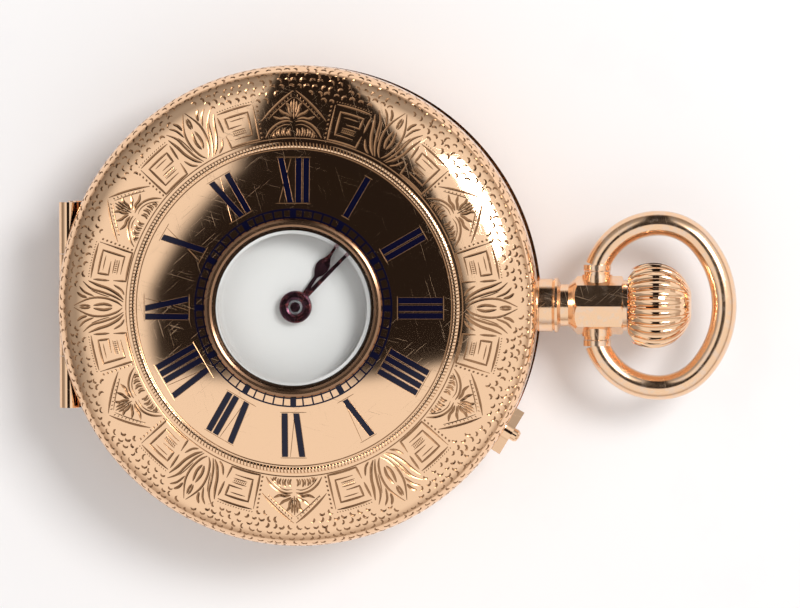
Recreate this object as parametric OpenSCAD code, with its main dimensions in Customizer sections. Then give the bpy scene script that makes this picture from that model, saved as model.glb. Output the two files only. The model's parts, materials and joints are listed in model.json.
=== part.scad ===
// Half-hunter fob watch with keyless winding and pin setting, closed and lying on its back.
// The dial axis is Z, the winding stem lies along X towards the bow, and twelve is at +Y.

/* [Case] */
// Diameter over the closed covers
case_d = 34; // [33.4:0.2:36]
// Depth of the middle band between the two covers
band_h = 4.2; // [4.1:0.1:4.6]
// Rise of the back cover from its flat to its rim
back_rise = 3.4; // [3.3:0.1:3.8]
// Rise of the front cover from its rim to the top of its dome
front_rise = 3.9; // [3.8:0.1:4.3]
// Thickness of the metal in the covers
cover_wall = 0.45; // [0.35:0.05:0.5]
// Diameter of the flat that the back cover stands on
back_flat_d = 16; // [12:1:20]
// How far the band stands inside the rims of the covers
band_inset = 0.4; // [0.3:0.05:0.5]

/* [Window] */
// Clear diameter of the window in the front cover
window_d = 11.3; // [10:0.1:12]
// Width of the ring round the window
window_ring_w = 0.62; // [0.5:0.02:0.8]
// Height of the window ring over the dome
window_ring_h = 0.4; // [0.3:0.05:0.5]
// Thickness of the window glass
window_glass_t = 0.75; // [0.6:0.05:0.8]
// Width of the bevel round the window glass
window_bevel_w = 0.4; // [0.2:0.05:0.6]

/* [Hinges] */
// Diameter of the hinge tubes
hinge_d = 1.4; // [1.2:0.1:1.5]
// Diameter of the hinge pins
hinge_pin_d = 0.6; // [0.4:0.05:0.7]
// Length of each hinge tube from end to end
hinge_len = 14.6; // [13:0.2:15]
// Length of the middle tube, which belongs to the cover
hinge_mid = 7.2; // [6:0.2:8]

/* [Pendant] */
// Diameter of the round collar at the case
collar_d = 3.76; // [3.5:0.05:4]
// Length of the collar out from the case
collar_len = 1.4; // [1.2:0.1:1.8]
// Diameter of the groove between the collar and the block
neck_d = 3; // [2.8:0.1:3.2]
// Length of that groove
neck_len = 0.8; // [0.6:0.1:1]
// Width of the eight-sided block over its corners
block_w = 4.14; // [4:0.05:4.4]
// Length of the block
block_len = 3.7; // [3.4:0.1:4]
// Diameter of the winding crown
crown_d = 6.05; // [5.6:0.05:6.3]
// Length of the winding crown
crown_len = 4.4; // [4.2:0.1:4.8]
// Number of flutes on the crown
crown_flutes = 28; // [24:1:30]
// How far the crown is pressed to open the front cover
crown_travel = 0.3; // [0.2:0.05:0.35]

/* [Bow] */
// Thickness of the bow's wire
bow_wire = 1.75; // [1.4:0.05:1.8]
// Reach of the bow from its pivots to its outer edge
bow_reach = 9.85; // [9.7:0.05:10.4]
// Width over the bow
bow_w = 13.4; // [13.2:0.1:14]
// Diameter of the pins at the ends of the bow
bow_pin_d = 0.9; // [0.7:0.05:1]

/* [Setting pin] */
// Angle of the setting pin below the stem
set_angle = 31; // [28:1:34]
// Diameter of the setting pin
set_pin_d = 0.9; // [0.7:0.05:1]
// How far the pin stands out of the case
set_pin_out = 1.2; // [1:0.1:1.4]
// How far the pin goes in when it is pressed
set_travel = 0.45; // [0.3:0.05:0.45]

/* [Movement] */
// Width of the middle band, from its outside to the movement
band_w = 3.1; // [3:0.05:3.3]
// Thickness of the main plate
plate_t = 1.2; // [1.15:0.05:1.3]
// Thickness of the bridge and the bars
bridge_t = 1.1; // [1:0.05:1.2]
// Height of the plate's rim under the dial
dial_rim_h = 0.95; // [0.95:0.05:1.05]
// Thickness of the enamelled dial
dial_t = 0.5; // [0.4:0.05:0.6]
// How far the dial's edge lies inside the movement's
dial_inset = 0.7; // [0.5:0.05:0.9]
// Diameter of the barrel's drum
drum_d = 9.5; // [9.2:0.1:9.6]

/* [Wheels] */
// Diameter of the escape wheel
escape_d = 4.4; // [4.2:0.1:4.6]
// Diameter over the balance rim
balance_d = 7.2; // [6.8:0.1:7.3]
// Thickness of the train wheels
wheel_t = 0.18; // [0.14:0.01:0.2]

/* [Hands] */
// Length of the minute hand
minute_hand_len = 9.6; // [9:0.1:11]
// Length of the hour hand
hour_hand_len = 7.2; // [6:0.1:8]
// Clock angle of the minute hand
minute_hand_at = 44.5; // [0:0.5:359.5]
// Clock angle of the hour hand
hour_hand_at = 33.7; // [0:0.1:359.9]

/* [Hidden] */
$fn = 96;
over = 0.01;
gap = 0.05;
run_gap = 0.03;

// Levels, counted up from the flat of the back cover
case_r = case_d / 2;
band_r = case_r - band_inset;
back_rim_z = back_rise;
front_rim_z = back_rise + band_h;
stem_z = back_rise + band_h / 2;
plate_z0 = stem_z + 0.6;
plate_z1 = plate_z0 + plate_t;
dial_z0 = plate_z1 + dial_rim_h;
dial_z1 = dial_z0 + dial_t;
bar_z1 = stem_z - 0.65;
bar_z0 = bar_z1 - bridge_t;
centre_z = bar_z1 + 0.15;
fourth_z = centre_z + 0.38;
third_z = fourth_z + 0.36;
lever_z = third_z;
work_z = plate_z0 + 0.55;
hour_z = work_z + 0.6;
hand_gap = 0.2;
hand_t = 0.12;
hour_hand_z = dial_z1 + 0.25;
minute_hand_z = hour_hand_z + hand_t + hand_gap;

// Middle band and what seats on it
movement_r = band_r - band_w;
band_bore_r = movement_r + gap;
flange_r = movement_r + 0.8;
flange_t = 0.35;
lip_w = 1.3;
lip_r = case_r - lip_w;
lip_t = 0.4;
neck_r = lip_r - 0.7;
neck_h = 1;
lower_neck_h = 0.35;
dial_r = movement_r - dial_inset;
crystal_r = dial_r - 0.1;
crystal_t = 0.4;
crystal_rise = 0.35;
bezel_z = front_rim_z + neck_h + gap;
cuvette_t = 0.25;
cuvette_r = lip_r - 1.1;
cuvette_seat_r = cuvette_r - 0.7;
cuvette_rim_r = cuvette_r - 0.2;
cuvette_z = back_rim_z - lower_neck_h - gap;

// Hinges: both lie on the side away from the bow
hinge_r = hinge_d / 2;
hinge_x = -(case_r + 0.05 - hinge_r);
hinge_clear = hinge_r + 0.45;
hinge_step = 0.05;
web_h = 0.65;
cuvette_hinge_r = 0.35;
cuvette_hinge_len = 5;
cuvette_hinge_mid = 2.4;
cuvette_pin_r = 0.15;
cuvette_hinge_x = -(cuvette_r - 0.1);
cuvette_hinge_z = cuvette_z - cuvette_t / 2;

// Case springs: the catch that holds the front cover and the leaf that lifts it
spring_t = 0.3;
spring_r0 = neck_r - 0.95;
spring_r1 = spring_r0 + spring_t;
spring_h = 0.85;
nose_w = 1.6;
lock_root_at = 28;
lift_root_at = 28;
lock_reach = lip_r - gap;
lift_reach = lip_r - 0.25;
tab_w = 1.9;
case_screw_dirs = [100, 225, 290];
case_screw_dist = movement_r + 0.45;
case_screw_r = 0.2;

// Pendant, from the case outwards
pendant_root_x = band_r - 0.9;
pendant_root_r = collar_d / 2 - 0.2;
shoulder_r = 1;
shoulder_x0 = spring_r1 + 0.25;
shoulder_x1 = shoulder_x0 + 0.6;
collar_x1 = case_r + collar_len;
neck_x1 = collar_x1 + neck_len;
block_x1 = neck_x1 + block_len;
bow_x = block_x1 - 1.84;
crown_x0 = block_x1 + crown_travel + gap;
crown_x1 = crown_x0 + crown_len;
boss_r = 1.8;
stem_r = 0.6;
stem_bore_r = stem_r + run_gap;
socket_r = 1.08;
socket_y = block_w / 2 + 0.35;

// Bow: at each side an arc up to its widest place and a tighter one after it, and a flat one at its end
bow_rr = bow_wire / 2;
bow_end_y = socket_y + 0.35;
bow_half = bow_w / 2 - bow_rr;
bow_far = bow_x + bow_reach - bow_rr;
bow_top_x = bow_x + 4.35;
bow_side_r = (pow(bow_top_x - bow_x, 2) + pow(bow_half - bow_end_y, 2)) / (2 * (bow_half - bow_end_y));
bow_side_y = bow_half - bow_side_r;
bow_corner_r = bow_side_r - 0.7;
bow_corner_y = bow_half - bow_corner_r;
bow_turn = 2 * atan((bow_far - bow_top_x - bow_corner_r) / bow_corner_y);
bow_far_r = bow_corner_r + bow_corner_y / sin(bow_turn);
bow_end_turn = 180 - atan2(bow_end_y - bow_side_y, bow_top_x - bow_x);

// Winding work on the stem
winding_mod = 0.17;
pinion_teeth = 16;
crown_wheel_teeth = 34;
ratchet_teeth = 44;
keyless_z = bar_z0 + 0.05;
keyless_t = 0.32;
pinion_tip_r = pinion_teeth * winding_mod / 2 + 0.14;
pinion_x0 = 10.17;
pinion_x1 = 11.3;
crown_wheel_r = crown_wheel_teeth * winding_mod / 2;
ratchet_r = ratchet_teeth * winding_mod / 2;
crown_wheel_x = pinion_x0 + 0.34 - crown_wheel_r - winding_mod;
clutch_r = 1.3;
clutch_groove_r = 0.85;
clutch_x0 = 7.9;
clutch_x1 = 9.9;
groove_x = clutch_x0 + 0.72;
groove_w = 0.62;
square_w = 0.75;
journal_r = 0.55;
pilot_r = 0.3;
lug_w = 1.3;
lug_t = 0.52;
cap_screw_y = 0.8;
cap_screw_r = 0.15;
cap_screw_h = 0.46;

// Tooth counts that give 18,000 beats an hour and one turn an hour of the centre wheel
barrel_teeth = 80;
centre_leaves = 10;
centre_teeth = 80;
third_leaves = 10;
third_teeth = 75;
fourth_leaves = 10;
fourth_teeth = 80;
escape_leaves = 8;
escape_teeth = 15;

// Train: each pair is set at the sum of its pitch radii
barrel_mod = 0.125;
centre_mod = 0.095;
third_mod = 0.085;
fourth_mod = 0.075;
barrel_dist = (barrel_teeth + centre_leaves) * barrel_mod / 2;
winding_dist = crown_wheel_r + ratchet_r;
barrel_x = (pow(barrel_dist, 2) - pow(winding_dist, 2) + pow(crown_wheel_x, 2)) / (2 * crown_wheel_x);
barrel_at = [barrel_x, sqrt(pow(barrel_dist, 2) - pow(barrel_x, 2))];
crown_wheel_at = [crown_wheel_x, 0];
ratchet_phase = direction(barrel_at, crown_wheel_at) + 180 / ratchet_teeth
                + direction(crown_wheel_at, barrel_at) * crown_wheel_teeth / ratchet_teeth;
third_dir = 195;
fourth_dir = -60;
escape_dir = -50;
pallet_dir = 10;
third_at = polar((centre_teeth + third_leaves) * centre_mod / 2, third_dir);
fourth_at = third_at + polar((third_teeth + fourth_leaves) * third_mod / 2, fourth_dir);
escape_at = fourth_at + polar((fourth_teeth + escape_leaves) * fourth_mod / 2, escape_dir);
escape_r = escape_d / 2;
pallet_at = escape_at + polar(escape_r / cos(30), pallet_dir);
fork_len = 2.35;
roller_r = 0.85;
balance_at = pallet_at + polar(fork_len + roller_r - 0.13, pallet_dir);
arbor_r = 0.16;
pivot_r = 0.09;
jewel_r = 0.45;
jewel_t = 0.3;
jewel_bore_r = pivot_r + 0.02;

// Barrel and mainspring
drum_r = drum_d / 2;
drum_z0 = fourth_z - 0.08;
drum_z1 = plate_z0 + 0.35;
drum_wall = 0.3;
drum_floor = 0.2;
barrel_teeth_t = 0.35;
barrel_arbor_r = 0.75;
barrel_hub_r = 1.4;

// Motion work under the dial
motion_mod = 0.12;
cannon_leaves = 12;
minute_wheel_teeth = 36;
minute_leaves = 10;
hour_wheel_teeth = 40;
setting_teeth = 20;
work_t = 0.3;
setting_r = setting_teeth * motion_mod / 2;
minute_dist = (cannon_leaves + minute_wheel_teeth) * motion_mod / 2;
hour_mod = 2 * minute_dist / (minute_leaves + hour_wheel_teeth);
setting_x = clutch_x0 - 0.55 - setting_r - motion_mod;
setting_at = [setting_x, 0];
minute_setting_dist = (minute_wheel_teeth + setting_teeth) * motion_mod / 2;
minute_x = (pow(minute_dist, 2) - pow(minute_setting_dist, 2) + pow(setting_x, 2)) / (2 * setting_x);
minute_at = [minute_x, -sqrt(pow(minute_dist, 2) - pow(minute_x, 2))];
post_r = 0.28;
centre_arbor_r = 0.3;
cannon_r = 0.5;
hour_tube_r = 0.78;

// Yoke that the setting pin swings, with its tip in the clutch's groove
yoke_at = [5.8, 2.9 - movement_r];
yoke_z = plate_z0 + 0.32;
yoke_t = 0.24;
yoke_push_r = movement_r - 1.5;
yoke_well_z = yoke_z - 0.06;
tab_r = 0.35;
set_z = yoke_z + yoke_t / 2;

// How far the pin's travel turns the yoke and shifts the clutch, and the room that this takes
push_arm = polar(yoke_push_r, -set_angle) - yoke_at;
push_lever = push_arm[1] * cos(set_angle) + push_arm[0] * sin(set_angle);
yoke_turn = set_travel / push_lever * 180 / PI;
clutch_travel = -yoke_at[1] * set_travel / push_lever;
square_x0 = clutch_x0 - clutch_travel - 0.17;
pilot_x0 = square_x0 - 0.7;
lug_x0 = pilot_x0 - 0.2;

// Feet of the bridge and bars on the plate, as direction and distance from the dial axis
foot_r = 1.1;
bar_end_r = 0.85;
foot_dist = movement_r - 1.6;
centre_foot = polar(foot_dist, 166);
third_foot = polar(foot_dist, 196);
fourth_foot = polar(foot_dist, 226);
escape_foot = polar(foot_dist, 254);
balance_foot = [2.5, 1.7 - movement_r];
pallet_foot = balance_foot + [1.1, 2.3];
pallet_cock_z = lever_z - 0.95;
pallet_cock_t = 0.5;
cock_z0 = bar_z0 - 0.5;
cock_t = 0.55;
balance_z = bar_z0 + 0.45;
balance_rim_t = 0.4;
roller_z = lever_z - 0.38;
spring_z = bar_z0 + 0.2;
bridge_foot_dirs = [88, 38, 14];
bridge_foot_dist = movement_r - 1.1;
skirt_r = barrel_dist + drum_r + 0.575;
screw_head_r = 0.62;
screw_head_t = 0.3;
screw_r = 0.35;

gold = "#e3b27a";
dark_gold = "#c08d55";
brass = "#d9b36a";
gilt = "#cfa45c";
steel = "#9aa0a8";
blued = "#2c3a7a";
ruby = "#a51f45";
white = "#f4f1ea";
clear = "#cfe2ea80";

function polar(r, a) = [r * cos(a), r * sin(a)];

function direction(a, b) = atan2(b[1] - a[1], b[0] - a[0]);

// Outline of a toothed wheel: radial flanks up to the pitch circle, then an ogive tip
function tooth_points(teeth, mod, share, tip = 1.2, root = 1.3) =
    let (r = teeth * mod / 2, half = 180 * share / teeth)
    [for (i = [0 : teeth - 1], p = [[r - root * mod, -half], [r, -half], [r + tip * mod, 0],
                                    [r, half], [r - root * mod, half]])
        polar(p[0], i * 360 / teeth + p[1])];

// Height of the covers' dome at a share t of a quarter turn, from the middle to the rim
function dome(t) = sqrt(cos(90 * t));

function dome_points(r, h, steps, clip = 1) =
    [for (i = [0 : steps]) [r * sin(90 * i / steps), h * min(1, dome(i / steps) / clip)]];

function reversed(list) = [for (i = [len(list) - 1 : -1 : 0]) list[i]];

// Both edges of a flat spiral strip
function spiral_points(r0, r1, turns, w, steps) =
    concat([for (i = [0 : steps]) polar(r0 + (r1 - r0) * i / steps + w / 2, 360 * turns * i / steps)],
           [for (i = [steps : -1 : 0]) polar(r0 + (r1 - r0) * i / steps - w / 2, 360 * turns * i / steps)]);

module disc(r, z, h) {
    translate([0, 0, z])
        cylinder(r = r, h = h);
}

module ring(r_out, r_in, z, h) {
    translate([0, 0, z])
        linear_extrude(h)
            difference() {
                circle(r_out);
                circle(r_in);
            }
}

// Turns a piece made along Z to lie along X, at the height of the stem
module along_stem(z = stem_z) {
    translate([0, 0, z])
        rotate([0, 90, 0])
            children();
}

module stem_rod(r, x0, x1, z = stem_z) {
    along_stem(z)
        disc(r, x0, x1 - x0);
}

module teeth2d(teeth, mod, share, phase, tip = 1.2, root = 1.3) {
    rotate(phase)
        polygon(tooth_points(teeth, mod, share, tip, root));
}

// Openings between the arms of a wheel
module crossings(rim_r, hub_r, arms, arm_w, phase) {
    difference() {
        circle(rim_r);
        circle(hub_r);
        for (i = [0 : arms - 1])
            rotate(phase + i * 360 / arms)
                translate([0, -arm_w / 2])
                    square([rim_r + over, arm_w]);
    }
}

module train_wheel(teeth, mod, phase, arms, z) {
    r = teeth * mod / 2;
    translate([0, 0, z])
        linear_extrude(wheel_t)
            difference() {
                teeth2d(teeth, mod, 0.46, phase);
                crossings(r - 0.42, 0.62, arms, 0.28, phase);
            }
}

module pinion(teeth, mod, phase, z, h) {
    translate([0, 0, z])
        linear_extrude(h)
            teeth2d(teeth, mod, 0.36, phase, 0.9, 1.3);
}

// Arbor with a pivot at each end, from the bar's jewel to the plate's jewel
module arbor(z0, z1) {
    disc(pivot_r, z0, z1 - z0);
    disc(arbor_r, z0 + jewel_t + 0.08, z1 - z0 - 2 * jewel_t - 0.16);
}

// Flat bar with two round ends, its edges a hair inside them
inside = 0.996;

module bar2d(a, b, ra, rb) {
    d = norm(b - a);
    at = direction(a, b);
    lean = acos((ra - rb) / d);
    translate(a)
        circle(ra);
    translate(b)
        circle(rb);
    polygon([a + polar(ra * inside, at - lean), b + polar(rb * inside, at - lean),
             b + polar(rb * inside, at + lean), a + polar(ra * inside, at + lean)]);
}

// Bar that carries one jewel, on a foot that stands on the plate
module train_bar(foot, pivot, end_r = bar_end_r) {
    difference() {
        union() {
            translate([0, 0, bar_z0])
                linear_extrude(bridge_t)
                    bar2d(foot, pivot, foot_r, end_r);
            translate([foot[0], foot[1], 0])
                disc(foot_r, bar_z0, plate_z0 - bar_z0);
        }
        translate([pivot[0], pivot[1], 0])
            jewel_seat();
        translate([foot[0], foot[1], 0])
            screw_seat(bar_z0);
    }
}

module jewel_seat() {
    disc(jewel_r, bar_z0 - over, jewel_t + over);
    disc(arbor_r + 0.06, bar_z0, bridge_t + over);
}

module screw_seat(z) {
    disc(screw_head_r + run_gap, z - over, screw_head_t + over);
    disc(screw_r, z, plate_z0 + 0.6 - z);
}

module jewel(z) {
    ring(jewel_r, jewel_bore_r, z, jewel_t);
}

module screw(z, depth) {
    difference() {
        union() {
            disc(screw_head_r, z, screw_head_t);
            disc(screw_r, z, depth);
        }
        translate([-1, -0.08, z - over])
            cube([2, 0.16, 0.14]);
    }
}

module hinge_tube(x, y0, y1, z, r) {
    translate([x, y0, z])
        rotate([-90, 0, 0])
            cylinder(r = r, h = y1 - y0);
}

// Tubes of one case hinge that belong to the band, with the webs that carry them
module band_knuckles(z, side) {
    y0 = hinge_mid / 2 + hinge_step;
    for (s = [0, 1])
        mirror([0, s, 0]) {
            hinge_tube(hinge_x, y0, hinge_len / 2, z, hinge_r);
            translate([hinge_x, y0, side > 0 ? z - web_h - gap : z + gap])
                cube([2.6, hinge_len / 2 - y0, web_h]);
        }
}

module hinge_gutter(z) {
    hinge_tube(hinge_x, -hinge_mid / 2 - hinge_step, hinge_mid / 2 + hinge_step, z, hinge_clear);
}

// Room in a cover round the band's tubes
module cover_notches(z) {
    for (s = [0, 1])
        mirror([0, s, 0])
            hinge_tube(hinge_x, hinge_mid / 2, hinge_len / 2 + 0.15, z, hinge_clear);
}

module case_band() {
    color(gold)
        difference() {
            union() {
                difference() {
                    rotate_extrude()
                        polygon([[band_bore_r, back_rim_z], [cuvette_seat_r, back_rim_z],
                                 [cuvette_seat_r, back_rim_z - lower_neck_h],
                                 [cuvette_rim_r, back_rim_z - lower_neck_h],
                                 [cuvette_rim_r, back_rim_z], [band_r, back_rim_z],
                                 [band_r, front_rim_z], [neck_r, front_rim_z],
                                 [neck_r, front_rim_z + neck_h], [flange_r + gap, front_rim_z + neck_h],
                                 [flange_r + gap, dial_z0 - flange_t], [band_bore_r, dial_z0 - flange_t]]);
                    hinge_gutter(front_rim_z);
                    hinge_gutter(back_rim_z);
                }
                band_knuckles(front_rim_z, 1);
                band_knuckles(back_rim_z, -1);
                hinge_tube(cuvette_hinge_x, cuvette_hinge_mid / 2 + hinge_step, cuvette_hinge_len / 2,
                           cuvette_hinge_z, cuvette_hinge_r);
                hinge_tube(cuvette_hinge_x, -cuvette_hinge_len / 2, -cuvette_hinge_mid / 2 - hinge_step,
                           cuvette_hinge_z, cuvette_hinge_r);
            }
            hinge_tube(hinge_x, -hinge_len, hinge_len, front_rim_z, hinge_pin_d / 2);
            hinge_tube(hinge_x, -hinge_len, hinge_len, back_rim_z, hinge_pin_d / 2);
            hinge_tube(cuvette_hinge_x, -cuvette_hinge_len, cuvette_hinge_len, cuvette_hinge_z,
                       cuvette_pin_r);
            hinge_tube(cuvette_hinge_x, -cuvette_hinge_mid / 2 - hinge_step,
                       cuvette_hinge_mid / 2 + hinge_step, cuvette_hinge_z, cuvette_hinge_r + gap);
            stem_rod(shoulder_r + 0.1, 0, pendant_root_x);
            stem_rod(pendant_root_r, pendant_root_x, case_r + 1);
            rotate(-set_angle)
                stem_rod(set_pin_d / 2 + run_gap, 0, case_r + 1, set_z);
            spring_room(lock_root_at);
            rotate(180)
                spring_room(lift_root_at);
            translate([band_bore_r - 0.2, -tab_w / 2 - 0.1, stem_z - shoulder_r - 0.2])
                cube([shoulder_x0 - band_bore_r + 0.2, tab_w + 0.2,
                      front_rim_z - stem_z + shoulder_r + 0.3]);
            for (a = case_screw_dirs)
                rotate(a)
                    translate([case_screw_dist, 0, 0])
                        disc(case_screw_r, dial_z0 - 1.2, 2);
        }
}

// Space in the band's upper inner edge for a case spring and its nose, from the nose to the root
module spring_room(root_at) {
    translate([0, 0, front_rim_z - gap])
        rotate_extrude(angle = root_at + 12, start = -7)
            translate([band_bore_r - 0.1, 0])
                square([spring_r1 + 0.15 - band_bore_r + 0.1, neck_h + 1]);
    translate([spring_r0, -nose_w / 2 - 0.1, front_rim_z + 0.45])
        cube([neck_r - spring_r0 + 1, nose_w + 0.2, neck_h]);
}

// Flat leaf that lies along the band's inner edge, with a nose through the neck at its free end
module case_spring(root_at, nose_reach) {
    difference() {
        union() {
            translate([0, 0, front_rim_z])
                rotate_extrude(angle = root_at + 4, start = -4)
                    translate([spring_r0, 0])
                        square([spring_r1 - spring_r0, spring_h]);
            translate([spring_r0 + 0.1, -nose_w / 2, front_rim_z + 0.5])
                cube([nose_reach - spring_r0 - 0.1, nose_w, spring_h - 0.5]);
        }
        rotate(root_at - 4)
            stem_rod(0.2, spring_r0 - 1, spring_r1 + 1, front_rim_z + spring_h / 2);
    }
}

module pendant() {
    color(gold)
        difference() {
            union() {
                along_stem()
                    rotate_extrude()
                        polygon([[0, pendant_root_x], [pendant_root_r, pendant_root_x],
                                 [pendant_root_r, band_r], [collar_d / 2, case_r],
                                 [collar_d / 2, collar_x1 - 0.5], [collar_d / 2 - 0.08, collar_x1 - 0.42],
                                 [collar_d / 2 + 0.06, collar_x1 - 0.3],
                                 [collar_d / 2 + 0.06, collar_x1 - 0.12],
                                 [neck_d / 2, collar_x1 + 0.1], [neck_d / 2, neck_x1 - 0.15],
                                 [block_w / 2 * 0.9, neck_x1 + 0.25], [block_w / 2 * 0.9, neck_x1 + 0.5],
                                 [0, neck_x1 + 0.5]]);
                intersection() {
                    translate([neck_x1, 0, stem_z])
                        rotate([0, 90, 0])
                            cylinder(d = block_w, h = block_len, $fn = 8);
                    along_stem()
                        rotate_extrude()
                            polygon([[0, neck_x1], [block_w / 2 - 0.45, neck_x1],
                                     [block_w / 2 + 0.1, neck_x1 + 0.6], [block_w / 2 + 0.1, block_x1 - 0.2],
                                     [block_w / 2 - 0.12, block_x1],
                                     [0, block_x1]]);
                }
                stem_rod(boss_r, block_x1 - 0.5, block_x1 + crown_travel);
                for (s = [-1, 1])
                    translate([bow_x, s * (block_w / 2 - 0.7), stem_z])
                        rotate([-90 * s, 0, 0]) {
                            cylinder(r = socket_r, h = socket_y - block_w / 2 + 0.45);
                            cylinder(r = socket_r - 0.14, h = socket_y - block_w / 2 + 0.7);
                        }
            }
            stem_rod(stem_bore_r, 0, block_x1 + 1);
            for (s = [-1, 1])
                translate([bow_x, s * 1.1, stem_z])
                    rotate([-90 * s, 0, 0])
                        cylinder(d = bow_pin_d + 2 * run_gap, h = socket_y);
        }
}

module set_pin_guard() {
    lobe = set_pin_d / 2 + 0.42;
    color(gold)
        rotate(-set_angle)
            difference() {
                translate([band_r - 0.05, 0, set_z])
                    rotate([0, 90, 0])
                        linear_extrude(case_r - band_r + 0.65)
                            difference() {
                                union() {
                                    circle(lobe);
                                    for (s = [-1, 1])
                                        polygon([polar(lobe, s * 90 - 52), [0, s * (lobe + 0.85)],
                                                 polar(lobe, s * 90 + 52)]);
                                }
                                circle(set_pin_d / 2 + run_gap);
                            }
                disc(band_r, 0, case_d);
            }
}

module front_hinge_pin() {
    color(dark_gold)
        hinge_tube(hinge_x, -hinge_len / 2, hinge_len / 2, front_rim_z, hinge_pin_d / 2);
}

module back_hinge_pin() {
    color(dark_gold)
        hinge_tube(hinge_x, -hinge_len / 2, hinge_len / 2, back_rim_z, hinge_pin_d / 2);
}

module cuvette_hinge_pin() {
    color(dark_gold)
        hinge_tube(cuvette_hinge_x, -cuvette_hinge_len / 2, cuvette_hinge_len / 2, cuvette_hinge_z,
                   cuvette_pin_r);
}

// Domed shell with a lip inside its rim, counted up from the rim
module cover_shell(h, clip = 1) {
    steps = 20;
    inner = dome_points(case_r - cover_wall, h - cover_wall, steps, clip);
    rotate_extrude()
        polygon(concat(dome_points(case_r, h, steps, clip),
                       [[lip_r, 0], [lip_r, lip_t], [case_r - cover_wall, lip_t]],
                       reversed([for (p = inner) if (p[1] > lip_t) p])));
}

module cover_knuckle(z) {
    hinge_tube(hinge_x, -hinge_mid / 2, hinge_mid / 2, z, hinge_r);
}

module cover_pin_hole(z) {
    hinge_tube(hinge_x, -hinge_len, hinge_len, z, hinge_pin_d / 2 + run_gap);
}

// Room in a cover's rim for the pendant, which stands higher than the gap between the rims
module pendant_notch() {
    stem_rod(collar_d / 2 + 0.12, lip_r - 1, case_r + 1);
}

function dome_z(r) = front_rim_z + gap + front_rise * sqrt(cos(asin(r / case_r)));

window_r = window_d / 2;
window_ring_r = window_r + window_ring_w;
window_hole_r = window_r + 0.1;
window_seat_z = dome_z(window_ring_r) - 0.12;
window_low_z = window_seat_z - 0.32;
window_floor_z = window_low_z + 0.2;
window_top_z = dome_z(window_ring_r) + window_ring_h;

module front_cover() {
    color(gold)
        difference() {
            union() {
                translate([0, 0, front_rim_z + gap])
                    cover_shell(front_rise);
                cover_knuckle(front_rim_z);
            }
            cover_notches(front_rim_z);
            cover_pin_hole(front_rim_z);
            pendant_notch();
            disc(window_ring_r, window_seat_z, 2);
            disc(window_hole_r, front_rim_z, front_rise + 1);
        }
}

module window_ring() {
    color(gold)
        rotate_extrude()
            polygon([[window_ring_r, window_seat_z], [window_ring_r, window_top_z - 0.22],
                     [window_ring_r - 0.08, window_top_z - 0.07], [window_ring_r - 0.24, window_top_z],
                     [window_r + 0.2, window_top_z], [window_r + 0.05, window_top_z - 0.07],
                     [window_r, window_top_z - 0.2], [window_r, window_floor_z],
                     [window_r - 0.35, window_floor_z], [window_r - 0.35, window_low_z],
                     [window_hole_r, window_low_z], [window_hole_r, window_seat_z]]);
}

module window_glass() {
    edge = window_r - 0.02;
    top = window_floor_z + window_glass_t;
    color(clear)
        rotate_extrude()
            polygon([[0, window_floor_z], [edge, window_floor_z], [edge, top - 0.3],
                     [edge - window_bevel_w, top], [0, top]]);
}

module back_cover() {
    clip = sqrt(cos(asin(back_flat_d / case_d)));
    color(gold)
        difference() {
            union() {
                translate([0, 0, back_rim_z - gap])
                    mirror([0, 0, 1])
                        cover_shell(back_rise - gap, clip);
                cover_knuckle(back_rim_z);
            }
            cover_notches(back_rim_z);
            cover_pin_hole(back_rim_z);
            pendant_notch();
        }
}

module cuvette() {
    color(gold)
        difference() {
            union() {
                translate([0, 0, cuvette_z - cuvette_t])
                    rotate_extrude()
                        polygon([[0, 0], [cuvette_r - 1.2, 0], [cuvette_r - 0.9, -0.12],
                                 [cuvette_r - 0.3, -0.12], [cuvette_r, 0.05], [cuvette_r, cuvette_t],
                                 [0, cuvette_t]]);
                hinge_tube(cuvette_hinge_x, -cuvette_hinge_mid / 2, cuvette_hinge_mid / 2,
                           cuvette_hinge_z, cuvette_hinge_r);
            }
            for (s = [0, 1])
                mirror([0, s, 0])
                    hinge_tube(cuvette_hinge_x, cuvette_hinge_mid / 2, cuvette_hinge_len / 2 + gap,
                               cuvette_hinge_z, cuvette_hinge_r + gap);
            hinge_tube(cuvette_hinge_x, -cuvette_hinge_len, cuvette_hinge_len, cuvette_hinge_z,
                       cuvette_pin_r + run_gap);
        }
}

module dial_bezel() {
    color(gold)
        translate([0, 0, bezel_z])
            rotate_extrude()
                polygon([[crystal_r - 0.4, 0.2], [crystal_r - 0.4, 0.42], [crystal_r + 0.02, 0.42],
                         [crystal_r + 0.02, 0.85], [crystal_r + 0.5, 0.95], [neck_r - 0.6, 0.7],
                         [neck_r, 0.3], [neck_r, 0], [crystal_r + 0.75, 0], [crystal_r + 0.55, 0.2]]);
}

module dial_crystal() {
    flat_r = crystal_r - 2.2;
    color(clear)
        translate([0, 0, bezel_z + 0.42])
            rotate_extrude()
                polygon([[0, crystal_rise + 0.32], [flat_r, crystal_rise + 0.32],
                         [flat_r + 1.2, crystal_rise + 0.14], [crystal_r - 0.45, 0],
                         [crystal_r, 0], [crystal_r, crystal_t],
                         [flat_r + 1.3, crystal_rise + crystal_t + 0.14],
                         [flat_r, crystal_rise + crystal_t + 0.32], [0, crystal_rise + crystal_t + 0.32]]);
}

dial_feet_dirs = [75, 180, 240];
dial_foot_r = 0.35;
dial_foot_dist = movement_r - 1.7;

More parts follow.
